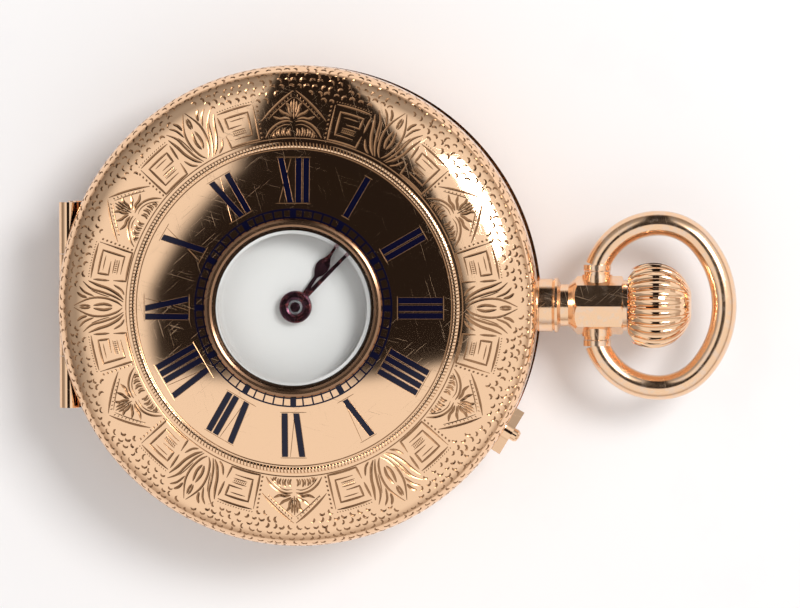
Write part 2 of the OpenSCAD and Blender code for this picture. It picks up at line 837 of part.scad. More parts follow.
module dial() {
    color(white) {
        rotate_extrude()
            polygon([[hour_tube_r + 0.14, dial_z0], [dial_r - 0.15, dial_z0], [dial_r, dial_z0 + 0.15],
                     [dial_r, dial_z1 - 0.15], [dial_r - 0.15, dial_z1], [hour_tube_r + 0.24, dial_z1],
                     [hour_tube_r + 0.14, dial_z1 - 0.1]]);
        for (a = dial_feet_dirs)
            rotate(a)
                translate([dial_foot_dist, 0, 0])
                    disc(dial_foot_r, plate_z1 - 0.5, dial_z0 - plate_z1 + 0.6);
    }
}

// One edge of a hand along +X: a slim tapered blade with leaf-shaped swellings, each as middle,
// length and half width
function blade_edge(len, w0, w1, leaves) =
    let (w = function (x) (w0 + (w1 - w0) * x / len) / 2)
    concat([[0, w(0)]],
           [for (l = leaves, p = [[-0.5, 0], [-0.3, 0.78], [-0.08, 1], [0.1, 0.9], [0.3, 0.42], [0.5, 0]])
                let (x = l[0] + p[0] * l[1])
                [x, max(w(x), p[1] * l[2])]],
           [[len, w(len)]]);

module blade2d(len, w0, w1, leaves = []) {
    edge = blade_edge(len, w0, w1, leaves);
    polygon(concat([for (p = edge) [p[0], -p[1]]], reversed(edge)));
}

// The half hunter's hour hand has one leaf to read through the window and one to read on the dial
module hour_hand() {
    color(blued)
        translate([0, 0, hour_hand_z])
            rotate(90 - hour_hand_at)
                difference() {
                    linear_extrude(hand_t)
                        union() {
                            circle(hour_tube_r + 0.35);
                            blade2d(hour_hand_len, 0.34, 0.1,
                                    [[3.5, 1.9, 0.48], [hour_hand_len - 1, 1.8, 0.5]]);
                        }
                    disc(hour_tube_r, -1, 2);
                }
}

module minute_hand() {
    color(blued)
        translate([0, 0, minute_hand_z])
            rotate(90 - minute_hand_at)
                difference() {
                    union() {
                        linear_extrude(hand_t)
                            union() {
                                circle(cannon_r + 0.32);
                                blade2d(minute_hand_len, 0.36, 0.12, [[minute_hand_len - 3.4, 2.2, 0.3]]);
                            }
                        disc(cannon_r + 0.14, 0, hand_t + 0.08);
                    }
                    disc(cannon_r, -1, 2);
                }
}

module bow() {
    color(gold)
        translate([0, 0, stem_z])
            union() {
                for (s = [0, 1])
                    mirror([0, s, 0]) {
                        bow_arc(bow_top_x, bow_side_y, bow_side_r, 90, bow_end_turn);
                        bow_arc(bow_top_x, bow_corner_y, bow_corner_r, bow_turn, 90);
                        for (turn = [bow_turn, 90])
                            translate([bow_top_x + bow_corner_r * cos(turn),
                                       bow_corner_y + bow_corner_r * sin(turn), 0])
                                sphere(bow_rr * 1.01);
                        translate([bow_x, socket_y + gap, 0])
                            rotate([-90, 0, 0])
                                cylinder(r = bow_rr + 0.1, h = bow_end_y - socket_y + 0.15);
                        translate([bow_x, 1.2, 0])
                            rotate([-90, 0, 0])
                                cylinder(d = bow_pin_d, h = bow_end_y - 1.2);
                    }
                bow_arc(bow_far - bow_far_r, 0, bow_far_r, -bow_turn, bow_turn);
            }
}

module bow_arc(x, y, r, from, to) {
    translate([x, y, 0])
        rotate_extrude(angle = to - from, start = from, $fn = 60)
            translate([r, 0])
                circle(bow_rr);
}

crown_r = crown_d / 2;
crown_belly_x = crown_x0 + crown_len * 0.41;
crown_base_r = 2.45;
crown_end_r = 1.1;
crown_room_t = 0.5;
flute_r = 0.3;
flute_low = 0.35;
flute_shift = 0.2;
flute_turn_r = crown_r - flute_low + 0.1;
crown_seat = 1.6;

function belly(reach, end_r) = reach / sqrt(1 - pow(end_r / crown_r, 2));

module crown() {
    steps = 8;
    base_a = belly(crown_belly_x - crown_x0, crown_base_r);
    end_a = belly(crown_x1 - crown_belly_x, crown_end_r);
    base_turn = asin(crown_base_r / crown_r);
    end_turn = asin(crown_end_r / crown_r);
    color(gold)
        difference() {
            along_stem()
                rotate_extrude()
                    polygon(concat(
                        [[stem_r, crown_x0 + crown_room_t], [boss_r + gap, crown_x0 + crown_room_t],
                         [boss_r + gap, crown_x0], [crown_base_r - 0.1, crown_x0]],
                        [for (i = [0 : steps])
                            let (a = base_turn + (90 - base_turn) * i / steps)
                            [crown_r * sin(a), crown_belly_x - base_a * cos(a)]],
                        [for (i = [1 : steps])
                            let (a = 90 - (90 - end_turn) * i / steps)
                            [crown_r * sin(a), crown_belly_x + end_a * cos(a)]],
                        [[crown_end_r - 0.3, crown_x1 + 0.06], [0, crown_x1 + 0.1],
                         [0, crown_x0 + crown_seat], [stem_r, crown_x0 + crown_seat]]));
            for (i = [0 : crown_flutes - 1])
                translate([0, 0, stem_z])
                    rotate([(i + 0.5) * 360 / crown_flutes, 0, 0])
                        translate([crown_belly_x + flute_shift, 0, flute_low])
                            rotate([90, 0, 0])
                                rotate_extrude(angle = 152, start = 4)
                                    translate([flute_turn_r, 0])
                                        circle(flute_r, $fn = 24);
        }
}

// Winding stem: pilot in the plate's lug, square in the clutch, round to the crown
module stem() {
    color(steel)
        union() {
            stem_rod(pilot_r, pilot_x0, square_x0 + 0.1);
            translate([square_x0, -square_w / 2, stem_z - square_w / 2])
                cube([clutch_x1 + crown_travel + gap - square_x0, square_w, square_w]);
            stem_rod(journal_r, clutch_x1 + crown_travel + run_gap, pinion_x1 + 0.5);
            stem_rod(stem_r, pinion_x1 + 0.45, crown_x0 + crown_seat);
            stem_rod(shoulder_r, shoulder_x0, shoulder_x1);
        }
}

module set_pin() {
    tip = case_r + set_pin_out;
    color(gold)
        rotate(-set_angle)
            along_stem(set_z)
                rotate_extrude()
                    polygon([[0, yoke_push_r + gap], [set_pin_d / 2 - 0.15, yoke_push_r + gap],
                             [set_pin_d / 2, yoke_push_r + 0.2], [set_pin_d / 2, tip - 0.25],
                             [set_pin_d / 2 - 0.12, tip - 0.08], [0, tip]]);
}

// Catch: the crown's shoulder pushes the tab in, and the nose lets go of the cover's lip
module lock_spring() {
    color(steel)
        difference() {
            union() {
                case_spring(lock_root_at, lock_reach);
                translate([spring_r0, -tab_w / 2, stem_z - 0.3])
                    cube([spring_r1 - spring_r0, tab_w, front_rim_z - stem_z + 0.7]);
            }
            stem_rod(stem_r + 0.15, 0, case_r);
            translate([0, -stem_r - 0.15, stem_z - 1])
                cube([case_r, 2 * stem_r + 0.3, 1]);
        }
}

module lift_spring() {
    color(steel)
        rotate(180)
            case_spring(lift_root_at, lift_reach);
}

module at(p) {
    translate([p[0], p[1], 0])
        children();
}

// Long arm to the groove of the clutch, its finger, and the short arm in front of the setting pin
module yoke_outline(grow) {
    elbow = [groove_x, -1.5];
    fork = yoke_at + (elbow - yoke_at) * 0.48;
    bar2d(yoke_at, elbow, 0.62 + grow, 0.38 + grow);
    translate([groove_x - 0.15 - grow, elbow[1] - 0.1])
        square([0.3 + 2 * grow, 0.35 - elbow[1] + 0.1 + grow]);
    bar2d(fork, polar(yoke_push_r - tab_r - 0.02, -set_angle), 0.4 + grow, tab_r + grow);
}

module main_plate() {
    color(gilt) {
        difference() {
            union() {
                disc(movement_r, plate_z0, plate_t);
                ring(movement_r, movement_r - 0.9, plate_z1 - over, dial_rim_h + over);
                ring(flange_r, movement_r - 0.9, dial_z0 - flange_t, flange_t);
                translate([lug_x0, -lug_w / 2, stem_z - lug_w / 2])
                    cube([lug_t, lug_w, plate_z0 - stem_z + lug_w / 2 + over]);
            }
            at(barrel_at) {
                disc(drum_r + 0.12, plate_z0 - over, drum_z1 + gap - plate_z0);
                disc(0.5 + run_gap, plate_z0, plate_t + 1);
            }
            for (p = [third_at, fourth_at, escape_at, pallet_at, balance_at])
                at(p) {
                    disc(arbor_r + 0.06, plate_z0 - over, plate_t);
                    disc(jewel_r, plate_z0 + 0.2, plate_t);
                }
            disc(centre_arbor_r + run_gap, 0, plate_z1 + 1);
            disc(hour_wheel_teeth * hour_mod / 2 + 0.3, work_z, plate_t);
            at(minute_at)
                disc(minute_wheel_teeth * motion_mod / 2 + 0.28, work_z, plate_t);
            at(setting_at)
                disc(setting_r + 0.28, work_z, plate_t);
            stem_rod(pilot_r + run_gap, 0, square_x0);
            stem_rod(stem_bore_r, square_x0, case_r);
            stem_rod(clutch_r + 0.08, square_x0, clutch_x1 + 0.1);
            stem_rod(pinion_tip_r + 0.07, clutch_x1 - 0.1, pinion_x1 + gap);
            for (turn = [0, yoke_turn / 2, yoke_turn])
                translate([yoke_at[0], yoke_at[1], yoke_well_z])
                    rotate(turn)
                        translate([-yoke_at[0], -yoke_at[1], 0])
                            linear_extrude(plate_t)
                                yoke_outline(0.16);
            rotate(-set_angle)
                stem_rod(set_pin_d / 2 + 0.08, yoke_push_r - set_travel - 0.15, case_r, set_z);
            for (a = dial_feet_dirs)
                rotate(a)
                    translate([dial_foot_dist, 0, 0])
                        disc(dial_foot_r, plate_z1 - 0.5, plate_t);
            for (f = [centre_foot, third_foot, fourth_foot, escape_foot, balance_foot, pallet_foot])
                at(f)
                    disc(screw_r, plate_z0 - over, 0.6);
            for (a = bridge_foot_dirs)
                at(polar(bridge_foot_dist, a))
                    disc(screw_r, plate_z0 - over, 0.6);
            for (a = case_screw_dirs)
                at(polar(case_screw_dist, a)) {
                    disc(case_screw_r, dial_z0 - 2, 3);
                    disc(case_screw_r + 0.12, dial_z0 - 0.18, 1);
                }
            for (a = [0, 180])
                rotate(a)
                    translate([0, 0, dial_z0 - flange_t - over])
                        rotate_extrude(angle = lock_root_at + 16, start = -9)
                            translate([movement_r, 0])
                                square([2, flange_t + 1]);
        }
        at(minute_at)
            disc(post_r, work_z - 0.2, 1.1);
        at(setting_at)
            disc(post_r, work_z - 0.2, 0.55);
        at(yoke_at)
            disc(0.3, yoke_well_z - 0.1, yoke_t + 0.2);
        at(pallet_at)
            rotate(pallet_dir)
                for (s = [-1, 1])
                    translate([1.6, s * 0.44, 0])
                        disc(0.1, lever_z - 0.05, plate_z0 - lever_z + 0.15);
    }
}

module bridge_outline() {
    intersection() {
        circle(movement_r - 0.2);
        polygon([[-3.2, movement_r], [-3.2, 2.4], [1.6, 0.95], [2.6, -1.75],
                 [movement_r, -1.75], [movement_r, movement_r]]);
    }
}

module click_sink2d() {
    bar2d(click_at, click_tip, 1.15, 0.9);
}

click_at = barrel_at + polar(ratchet_r + 1.35, 152);
click_tip = barrel_at + polar(ratchet_r + winding_mod, 130);

module barrel_bridge() {
    sink_t = keyless_z + keyless_t + 0.04 - bar_z0;
    color(gilt)
        difference() {
            union() {
                translate([0, 0, bar_z0])
                    linear_extrude(bridge_t)
                        bridge_outline();
                translate([0, 0, bar_z1 - over])
                    linear_extrude(plate_z0 - bar_z1 + over)
                        difference() {
                            bridge_outline();
                            circle(skirt_r);
                        }
            }
            at(barrel_at) {
                disc(ratchet_r + winding_mod + 0.14, bar_z0 - over, sink_t + over);
                disc(barrel_arbor_r + run_gap, 0, plate_z0);
            }
            at(crown_wheel_at) {
                disc(crown_wheel_r + winding_mod + 0.14, bar_z0 - over, sink_t + over);
                cap_screws();
            }
            translate([0, 0, bar_z0 - over])
                linear_extrude(sink_t + over)
                    click_sink2d();
            at(click_at)
                disc(0.25, bar_z0, bridge_t + 1);
            at(balance_at)
                disc(balance_d / 2 + 0.55, 0, plate_z0 - 0.3);
            stem_rod(stem_bore_r, 0, case_r);
            stem_rod(clutch_r + 0.08, square_x0, clutch_x1 + 0.1);
            stem_rod(pinion_tip_r + 0.07, clutch_x1 - 0.1, pinion_x1 + gap);
            for (a = bridge_foot_dirs)
                at(polar(bridge_foot_dist, a))
                    screw_seat(bar_z0);
        }
}

module centre_bar() {
    color(gilt)
        difference() {
            train_bar(centre_foot, [0, 0], 0.95);
            disc(0.2, bar_z0, bridge_t + 1);
        }
}

module third_bar() {
    color(gilt)
        train_bar(third_foot, third_at);
}

module fourth_bar() {
    color(gilt)
        train_bar(fourth_foot, fourth_at);
}

module escape_bar() {
    color(gilt)
        train_bar(escape_foot, escape_at);
}

module pallet_cock() {
    color(gilt)
        difference() {
            union() {
                translate([0, 0, pallet_cock_z])
                    linear_extrude(pallet_cock_t)
                        bar2d(pallet_foot, pallet_at, 0.75, 0.65);
                at(pallet_foot)
                    disc(0.75, pallet_cock_z, plate_z0 - pallet_cock_z);
            }
            at(pallet_at) {
                disc(jewel_r, pallet_cock_z - over, jewel_t + over);
                disc(arbor_r + 0.06, pallet_cock_z, 1);
            }
            at(pallet_foot)
                disc(screw_r, pallet_cock_z - over, plate_z0 - pallet_cock_z + 1);
        }
}

module balance_cock() {
    color(gilt)
        difference() {
            union() {
                translate([0, 0, cock_z0])
                    linear_extrude(cock_t)
                        bar2d(balance_foot, balance_at, 1.2, 0.85);
                at(balance_foot)
                    disc(1.2, cock_z0, plate_z0 - cock_z0);
            }
            at(balance_at) {
                disc(jewel_r, cock_z0 - over, jewel_t + over);
                disc(arbor_r + 0.06, cock_z0, 1);
            }
            at(balance_foot)
                screw_seat(cock_z0);
        }
}

module plate_jewels() {
    color(ruby)
        for (p = [third_at, fourth_at, escape_at, pallet_at, balance_at])
            at(p)
                jewel(plate_z0 + 0.2);
}

module bar_jewels() {
    color(ruby) {
        for (p = [third_at, fourth_at, escape_at])
            at(p)
                jewel(bar_z0);
        ring(jewel_r, 0.15 + run_gap, bar_z0, jewel_t);
        at(pallet_at)
            jewel(pallet_cock_z);
        at(balance_at)
            jewel(cock_z0);
    }
}

module bridge_screws() {
    color(blued) {
        for (f = [centre_foot, third_foot, fourth_foot, escape_foot])
            at(f)
                screw(bar_z0, plate_z0 + 0.55 - bar_z0);
        for (a = bridge_foot_dirs)
            at(polar(bridge_foot_dist, a))
                screw(bar_z0, plate_z0 + 0.55 - bar_z0);
        at(balance_foot)
            screw(cock_z0, plate_z0 + 0.55 - cock_z0);
        at(pallet_foot)
            difference() {
                disc(screw_r, pallet_cock_z, plate_z0 + 0.5 - pallet_cock_z);
                translate([-1, -0.08, pallet_cock_z - over])
                    cube([2, 0.16, 0.14]);
            }
    }
}

module case_screws() {
    color(blued)
        for (a = case_screw_dirs)
            at(polar(case_screw_dist, a))
                difference() {
                    union() {
                        disc(case_screw_r, dial_z0 - 1.15, 1.1);
                        disc(case_screw_r + 0.12, dial_z0 - 0.18, 0.18);
                    }
                    translate([-1, -0.04, dial_z0 - 0.08])
                        cube([2, 0.08, 0.2]);
                }
}

module barrel() {
    color(brass)
        at(barrel_at) {
            translate([0, 0, drum_z0 + 0.05])
                linear_extrude(barrel_teeth_t)
                    difference() {
                        teeth2d(barrel_teeth, barrel_mod, 0.46, direction(barrel_at, [0, 0]));
                        circle(drum_r - drum_wall);
                    }
            ring(drum_r, drum_r - drum_wall, drum_z0, drum_z1 - drum_z0);
            ring(drum_r, 0.5 + 2 * run_gap, drum_z1 - drum_floor, drum_floor);
        }
}

module barrel_lid() {
    color(brass)
        at(barrel_at)
            ring(drum_r - drum_wall, barrel_arbor_r + run_gap, drum_z0, 0.15);
}

module mainspring() {
    room_r = drum_r - drum_wall - 0.12;
    color(steel)
        at(barrel_at)
            translate([0, 0, drum_z0 + 0.2])
                linear_extrude(drum_z1 - drum_floor - gap - drum_z0 - 0.2)
                    polygon(spiral_points(barrel_hub_r + 0.12, room_r, 7, 0.16, 126));
}

module barrel_arbor() {
    color(steel)
        at(barrel_at)
            difference() {
                union() {
                    disc(barrel_arbor_r, keyless_z + keyless_t, drum_z0 + 0.2 - keyless_z - keyless_t);
                    disc(barrel_hub_r, drum_z0 + 0.18, drum_z1 - drum_floor - gap - drum_z0 - 0.18);
                    disc(0.5, drum_z1 - 1, 1.45);
                    translate([-0.5, -0.5, keyless_z])
                        cube([1, 1, keyless_t + over]);
                }
                disc(0.3, 0, keyless_z + 0.8);
            }
}

module ratchet_wheel() {
    color(steel)
        at(barrel_at)
            translate([0, 0, keyless_z])
                linear_extrude(keyless_t)
                    difference() {
                        teeth2d(ratchet_teeth, winding_mod, 0.44, ratchet_phase, 1, 1.2);
                        square(1, center = true);
                    }
}

module ratchet_screw() {
    color(blued)
        at(barrel_at)
            difference() {
                union() {
                    disc(1.25, keyless_z - 0.22, 0.22);
                    disc(0.3, keyless_z - 0.1, 0.85);
                }
                translate([-2, -0.1, keyless_z - 0.22 - over])
                    cube([4, 0.2, 0.12]);
            }
}

module crown_wheel() {
    color(steel)
        at(crown_wheel_at)
            translate([0, 0, keyless_z])
                linear_extrude(keyless_t)
                    difference() {
                        teeth2d(crown_wheel_teeth, winding_mod, 0.44, 0, 1, 1.2);
                        circle(1);
                    }
}

// Shanks that hold the core of the crown wheel, one at each side of the clutch
module cap_screws() {
    for (s = [-1, 1])
        translate([0, s * cap_screw_y, 0])
            disc(cap_screw_r, keyless_z, cap_screw_h);
}

module crown_wheel_cap() {
    color(blued)
        at(crown_wheel_at)
            difference() {
                union() {
                    disc(1.4, keyless_z - 0.22, 0.2);
                    disc(1 - run_gap, keyless_z - 0.1, keyless_t + 0.14);
                    cap_screws();
                }
                translate([-2, -0.1, keyless_z - 0.22 - over])
                    cube([4, 0.2, 0.12]);
            }
}

module click() {
    lean = direction(click_at, click_tip);
    reach = norm(click_tip - click_at);
    color(steel)
        at(click_at)
            rotate(lean)
                difference() {
                    union() {
                        translate([0, 0, keyless_z + 0.03])
                            linear_extrude(keyless_t - 0.06)
                                union() {
                                    circle(0.62);
                                    polygon([[0, 0.5], [reach - 0.1, 0.32], [reach + 0.18, -0.12],
                                             [reach - 0.12, -0.12], [reach - 0.5, 0.02], [0, -0.5]]);
                                }
                        disc(0.62, keyless_z - 0.12, 0.2);
                        disc(0.22, keyless_z, 0.9);
                    }
                    translate([-1, -0.06, keyless_z - 0.12 - over])
                        cube([2, 0.12, 0.09]);
                }
}

// Bent wire that presses the click towards the ratchet wheel
module click_spring() {
    color(steel)
        at(click_at)
            translate([0, 0, keyless_z + 0.08])
                rotate_extrude(angle = 118, start = direction(click_at, click_tip) + 30)
                    translate([0.86, 0])
                        square([0.16, keyless_t - 0.12]);
}

module centre_wheel() {
    pinion_z = drum_z0;
    color(brass)
        union() {
            train_wheel(centre_teeth, centre_mod, direction([0, 0], third_at), 5, centre_z);
            pinion(centre_leaves, barrel_mod, direction([0, 0], barrel_at) + 180 / centre_leaves, pinion_z,
                   barrel_teeth_t + 0.2);
            disc(0.15, bar_z0 + 0.05, 1);
            disc(0.19, bar_z0 + jewel_t + 0.08, 1);
            disc(0.62, centre_z - 0.08, pinion_z - centre_z + 0.1);
            disc(centre_arbor_r, centre_z - 0.05, minute_hand_z - centre_z);
        }
}

module third_wheel() {
    color(brass)
        at(third_at) {
            train_wheel(third_teeth, third_mod, direction(third_at, fourth_at), 5, third_z);
            pinion(third_leaves, centre_mod, direction(third_at, [0, 0]) + 180 / third_leaves,
                   centre_z - 0.05, 0.3);
            disc(0.62, third_z - 0.08, 0.1);
            arbor(bar_z0 + 0.05, plate_z0 + 0.46);
        }
}

module fourth_wheel() {
    color(brass)
        at(fourth_at) {
            train_wheel(fourth_teeth, fourth_mod, direction(fourth_at, escape_at), 5, fourth_z);
            pinion(fourth_leaves, third_mod, direction(fourth_at, third_at) + 180 / fourth_leaves,
                   third_z - 0.05, 0.3);
            disc(0.62, fourth_z - 0.08, 0.1);
            arbor(bar_z0 + 0.05, plate_z0 + 0.46);
        }
}

// Slanted teeth whose tips the pallets lock
module escape_wheel() {
    pitch = 360 / escape_teeth;
    color(steel)
        at(escape_at) {
            translate([0, 0, lever_z])
                linear_extrude(wheel_t)
                    difference() {
                        rotate(pallet_dir)
                            polygon([for (i = [0 : escape_teeth - 1],
                                          p = [[escape_r - 0.6, -9.5], [escape_r - 0.05, -1.2],
                                               [escape_r, -0.4], [escape_r, 1.1], [escape_r - 0.6, 0]])
                                     polar(p[0], i * pitch + p[1])]);
                        crossings(escape_r - 0.85, 0.5, 4, 0.26, 0);
                    }
            pinion(escape_leaves, fourth_mod, direction(escape_at, fourth_at) + 180 / escape_leaves,
                   fourth_z - 0.05, 0.3);
            disc(0.35, fourth_z + 0.24, lever_z - fourth_z - 0.2);
            arbor(bar_z0 + 0.05, plate_z0 + 0.46);
        }
}

module pallet_fork() {
    stone_d = escape_r / cos(30) - escape_r * cos(30);
    color(steel)
        at(pallet_at)
            rotate(pallet_dir) {
                translate([0, 0, lever_z])
                    linear_extrude(wheel_t)
                        union() {
                            circle(0.42);
                            for (s = [-1, 1]) {
                                bar2d([0, 0], [-0.1, s * 1.42], 0.3, 0.24);
                                translate([-stone_d, s * escape_r / 2])
                                    rotate(s * 30)
                                        translate([0.03, -0.13])
                                            square([0.7, 0.26]);
                            }
                            polygon([[0, 0.2], [fork_len - 0.55, 0.13], [fork_len - 0.4, 0.34],
                                     [fork_len + 0.12, 0.4], [fork_len + 0.05, 0.12], [fork_len - 0.2, 0.11],
                                     [fork_len - 0.2, -0.11], [fork_len + 0.05, -0.12],
                                     [fork_len + 0.12, -0.4], [fork_len - 0.4, -0.34],
                                     [fork_len - 0.55, -0.13], [0, -0.2]]);
                        }
                arbor(pallet_cock_z + 0.05, plate_z0 + 0.46);
            }
}

module balance_wheel() {
    rim_r = balance_d / 2;
    screws = 14;
    color(brass)
        at(balance_at) {
            translate([0, 0, balance_z])
                linear_extrude(balance_rim_t)
                    difference() {
                        circle(rim_r);
                        circle(rim_r - 0.3);
                        for (a = [78, 258])
                            rotate(a)
                                translate([0, -0.07])
                                    square([rim_r + 1, 0.14]);
                    }
            translate([0, 0, balance_z + 0.1])
                linear_extrude(0.2)
                    union() {
                        circle(0.62);
                        rotate(60)
                            square([2 * rim_r - 0.4, 0.42], center = true);
                    }
            for (i = [0 : screws - 1])
                rotate((i + 0.5) * 360 / screws)
                    translate([rim_r - 0.1, 0, balance_z + balance_rim_t / 2])
                        rotate([0, 90, 0])
                            cylinder(r = 0.16, h = 0.4);
            disc(pivot_r, cock_z0 + 0.05, plate_z0 + 0.46 - cock_z0 - 0.05);
            disc(0.15, cock_z0 + jewel_t + 0.08, plate_z0 - cock_z0 - jewel_t - 0.1);
            disc(roller_r, roller_z, 0.12);
            rotate(pallet_dir + 180)
                translate([roller_r - 0.13, 0, 0])
                    disc(0.08, roller_z, lever_z + 0.16 - roller_z);
        }
}

module hairspring() {
    color(blued)
        at(balance_at)
            translate([0, 0, spring_z])
                linear_extrude(0.14)
                    polygon(spiral_points(0.3, 1.9, 6, 0.05, 144));
}

module regulator() {
    lean = direction(balance_foot, balance_at);
    color(steel)
        at(balance_at)
            rotate(lean) {
                translate([0, 0, cock_z0 - 0.17])
                    linear_extrude(0.15)
                        difference() {
                            union() {
                                circle(0.78);
                                bar2d([0, 0], [1.72, 0], 0.5, 0.2);
                                rotate(180)
                                    blade2d(3.4, 0.5, 0.12);
                            }
                            circle(0.4);
                        }
                for (s = [-1, 1])
                    translate([1.72 + s * 0.1, 0, 0])
                        disc(0.05, cock_z0 - 0.05, spring_z + 0.12 - cock_z0);
            }
}

module cannon_pinion() {
    color(steel)
        difference() {
            union() {
                pinion(cannon_leaves, motion_mod, direction([0, 0], minute_at) + 180 / cannon_leaves,
                       work_z + 0.02, work_t + 0.1);
                disc(cannon_r, work_z + 0.1, minute_hand_z + hand_t + 0.12 - work_z - 0.1);
            }
            disc(centre_arbor_r + run_gap, 0, minute_hand_z + gap);
        }
}

module minute_wheel() {
    color(brass)
        at(minute_at)
            difference() {
                union() {
                    translate([0, 0, work_z + 0.03])
                        linear_extrude(wheel_t)
                            teeth2d(minute_wheel_teeth, motion_mod, 0.44, direction(minute_at, [0, 0]));
                    pinion(minute_leaves, hour_mod, direction(minute_at, [0, 0]), work_z + 0.1,
                           hour_z - work_z + 0.2);
                }
                disc(post_r + run_gap, 0, dial_z0);
            }
}

module hour_wheel() {
    color(brass)
        difference() {
            union() {
                translate([0, 0, hour_z])
                    linear_extrude(wheel_t)
                        teeth2d(hour_wheel_teeth, hour_mod, 0.44,
                                direction([0, 0], minute_at) + 180 / hour_wheel_teeth);
                disc(hour_tube_r, hour_z, hour_hand_z + hand_t + 0.05 - hour_z);
            }
            disc(cannon_r + run_gap, 0, dial_z1 + 2);
        }
}

module setting_wheel() {
    color(steel)
        at(setting_at)
            translate([0, 0, work_z + 0.03])
                linear_extrude(work_t)
                    difference() {
                        teeth2d(setting_teeth, motion_mod, 0.44,
                                direction(setting_at, minute_at) + 180 / setting_teeth);
                        circle(post_r + run_gap);
                    }
}

module winding_pinion() {
    color(steel)
        difference() {
            union() {
                along_stem()
                    translate([0, 0, pinion_x0])
                        linear_extrude(pinion_x1 - pinion_x0)
                            teeth2d(pinion_teeth, winding_mod, 0.4, 180 / pinion_teeth, 0.82, 1.2);
                stem_rod(1.05, clutch_x1 + 0.12, pinion_x0 + 0.1);
            }
            stem_rod(journal_r + run_gap, 0, case_r);
        }
}

module sliding_clutch() {
    color(steel)
        difference() {
            union() {
                along_stem()
                    rotate_extrude()
                        polygon([[0, clutch_x0 + 0.25], [clutch_r - 0.3, clutch_x0 + 0.25],
                                 [clutch_r, clutch_x0 + 0.3],
                                 [clutch_r, groove_x - groove_w / 2],
                                 [clutch_groove_r, groove_x - groove_w / 2],
                                 [clutch_groove_r, groove_x + groove_w / 2],
                                 [clutch_r, groove_x + groove_w / 2], [clutch_r, clutch_x1 - 0.2],
                                 [clutch_r - 0.2, clutch_x1], [0, clutch_x1]]);
                along_stem()
                    translate([0, 0, clutch_x0])
                        linear_extrude(0.35)
                            teeth2d(18, 0.13, 0.36, 0, 1, 1.6);
            }
            translate([0, -square_w / 2 - run_gap, stem_z - square_w / 2 - run_gap])
                cube([case_r, square_w + 2 * run_gap, square_w + 2 * run_gap]);
        }
}

module yoke() {
    color(steel)
        difference() {
            translate([0, 0, yoke_z])
                linear_extrude(yoke_t)
                    yoke_outline(0);
            at(yoke_at)
                disc(0.3 + run_gap, 0, plate_z1);
        }
}

case_band();
pendant();
set_pin_guard();
front_cover();
window_ring();
window_glass();
front_hinge_pin();
back_cover();
back_hinge_pin();
cuvette();
cuvette_hinge_pin();
dial_bezel();
dial_crystal();
dial();
hour_hand();
minute_hand();
bow();
crown();
stem();
set_pin();
lock_spring();
lift_spring();
main_plate();
barrel_bridge();
centre_bar();
third_bar();
fourth_bar();
escape_bar();
pallet_cock();
balance_cock();
plate_jewels();
bar_jewels();
bridge_screws();
case_screws();
barrel();
barrel_lid();
mainspring();
barrel_arbor();
ratchet_wheel();
ratchet_screw();
crown_wheel();
crown_wheel_cap();
click();
click_spring();
centre_wheel();
third_wheel();
fourth_wheel();
escape_wheel();
pallet_fork();
balance_wheel();
hairspring();
regulator();
cannon_pinion();
minute_wheel();
hour_wheel();
setting_wheel();
winding_pinion();
sliding_clutch();
yoke();
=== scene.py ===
"""Looks of a gold half-hunter fob watch: engraved covers, enamelled hours, finishes, light and camera."""

import json
import math
import random

import bmesh
import bpy
from bpy.props import FloatProperty, FloatVectorProperty, IntProperty, PointerProperty
from mathutils import Matrix, Vector


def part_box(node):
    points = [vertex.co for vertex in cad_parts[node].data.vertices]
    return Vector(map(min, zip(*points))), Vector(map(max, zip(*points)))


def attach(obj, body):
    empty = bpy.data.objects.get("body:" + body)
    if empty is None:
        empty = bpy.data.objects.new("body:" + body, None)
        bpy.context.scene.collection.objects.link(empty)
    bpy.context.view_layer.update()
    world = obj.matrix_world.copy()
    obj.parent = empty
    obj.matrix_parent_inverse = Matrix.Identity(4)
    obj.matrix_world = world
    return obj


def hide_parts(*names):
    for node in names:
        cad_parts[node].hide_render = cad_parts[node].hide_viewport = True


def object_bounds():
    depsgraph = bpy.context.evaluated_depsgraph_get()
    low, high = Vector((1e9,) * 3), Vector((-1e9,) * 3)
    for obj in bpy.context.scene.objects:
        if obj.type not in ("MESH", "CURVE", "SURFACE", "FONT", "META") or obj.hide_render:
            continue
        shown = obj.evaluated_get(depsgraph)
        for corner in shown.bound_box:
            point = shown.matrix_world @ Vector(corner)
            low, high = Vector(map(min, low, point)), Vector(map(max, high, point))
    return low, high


bl_info = {
    "name": "Half-hunter watch finish",
    "version": (1, 0, 0),
    "blender": (4, 5, 0),
    "location": "View3D > Sidebar > Watch",
    "description": "Engraves, enamels and lights a gold half-hunter fob watch",
    "category": "Object",
}

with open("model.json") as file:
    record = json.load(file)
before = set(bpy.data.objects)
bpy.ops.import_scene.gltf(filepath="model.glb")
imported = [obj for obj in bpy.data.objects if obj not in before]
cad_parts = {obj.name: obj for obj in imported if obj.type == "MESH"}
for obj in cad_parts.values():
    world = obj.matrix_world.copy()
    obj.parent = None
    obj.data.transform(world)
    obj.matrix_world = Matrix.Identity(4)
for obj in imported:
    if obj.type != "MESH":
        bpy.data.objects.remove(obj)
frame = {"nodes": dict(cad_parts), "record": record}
CAD_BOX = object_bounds()
MM = 0.001
CASE_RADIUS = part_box("front_cover")[1].y
DIAL_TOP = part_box("dial")[1].z
STEM_HEIGHT = (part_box("stem")[0].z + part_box("stem")[1].z) / 2


# Sizes and colours that a user may change


def length(title, text, millimetres):
    return FloatProperty(name=title, description=text, default=millimetres * MM, precision=5,
                         unit="LENGTH", subtype="DISTANCE")


def angle(title, text, degrees):
    return FloatProperty(name=title, description=text, default=math.radians(degrees),
                         unit="ROTATION", subtype="ANGLE")


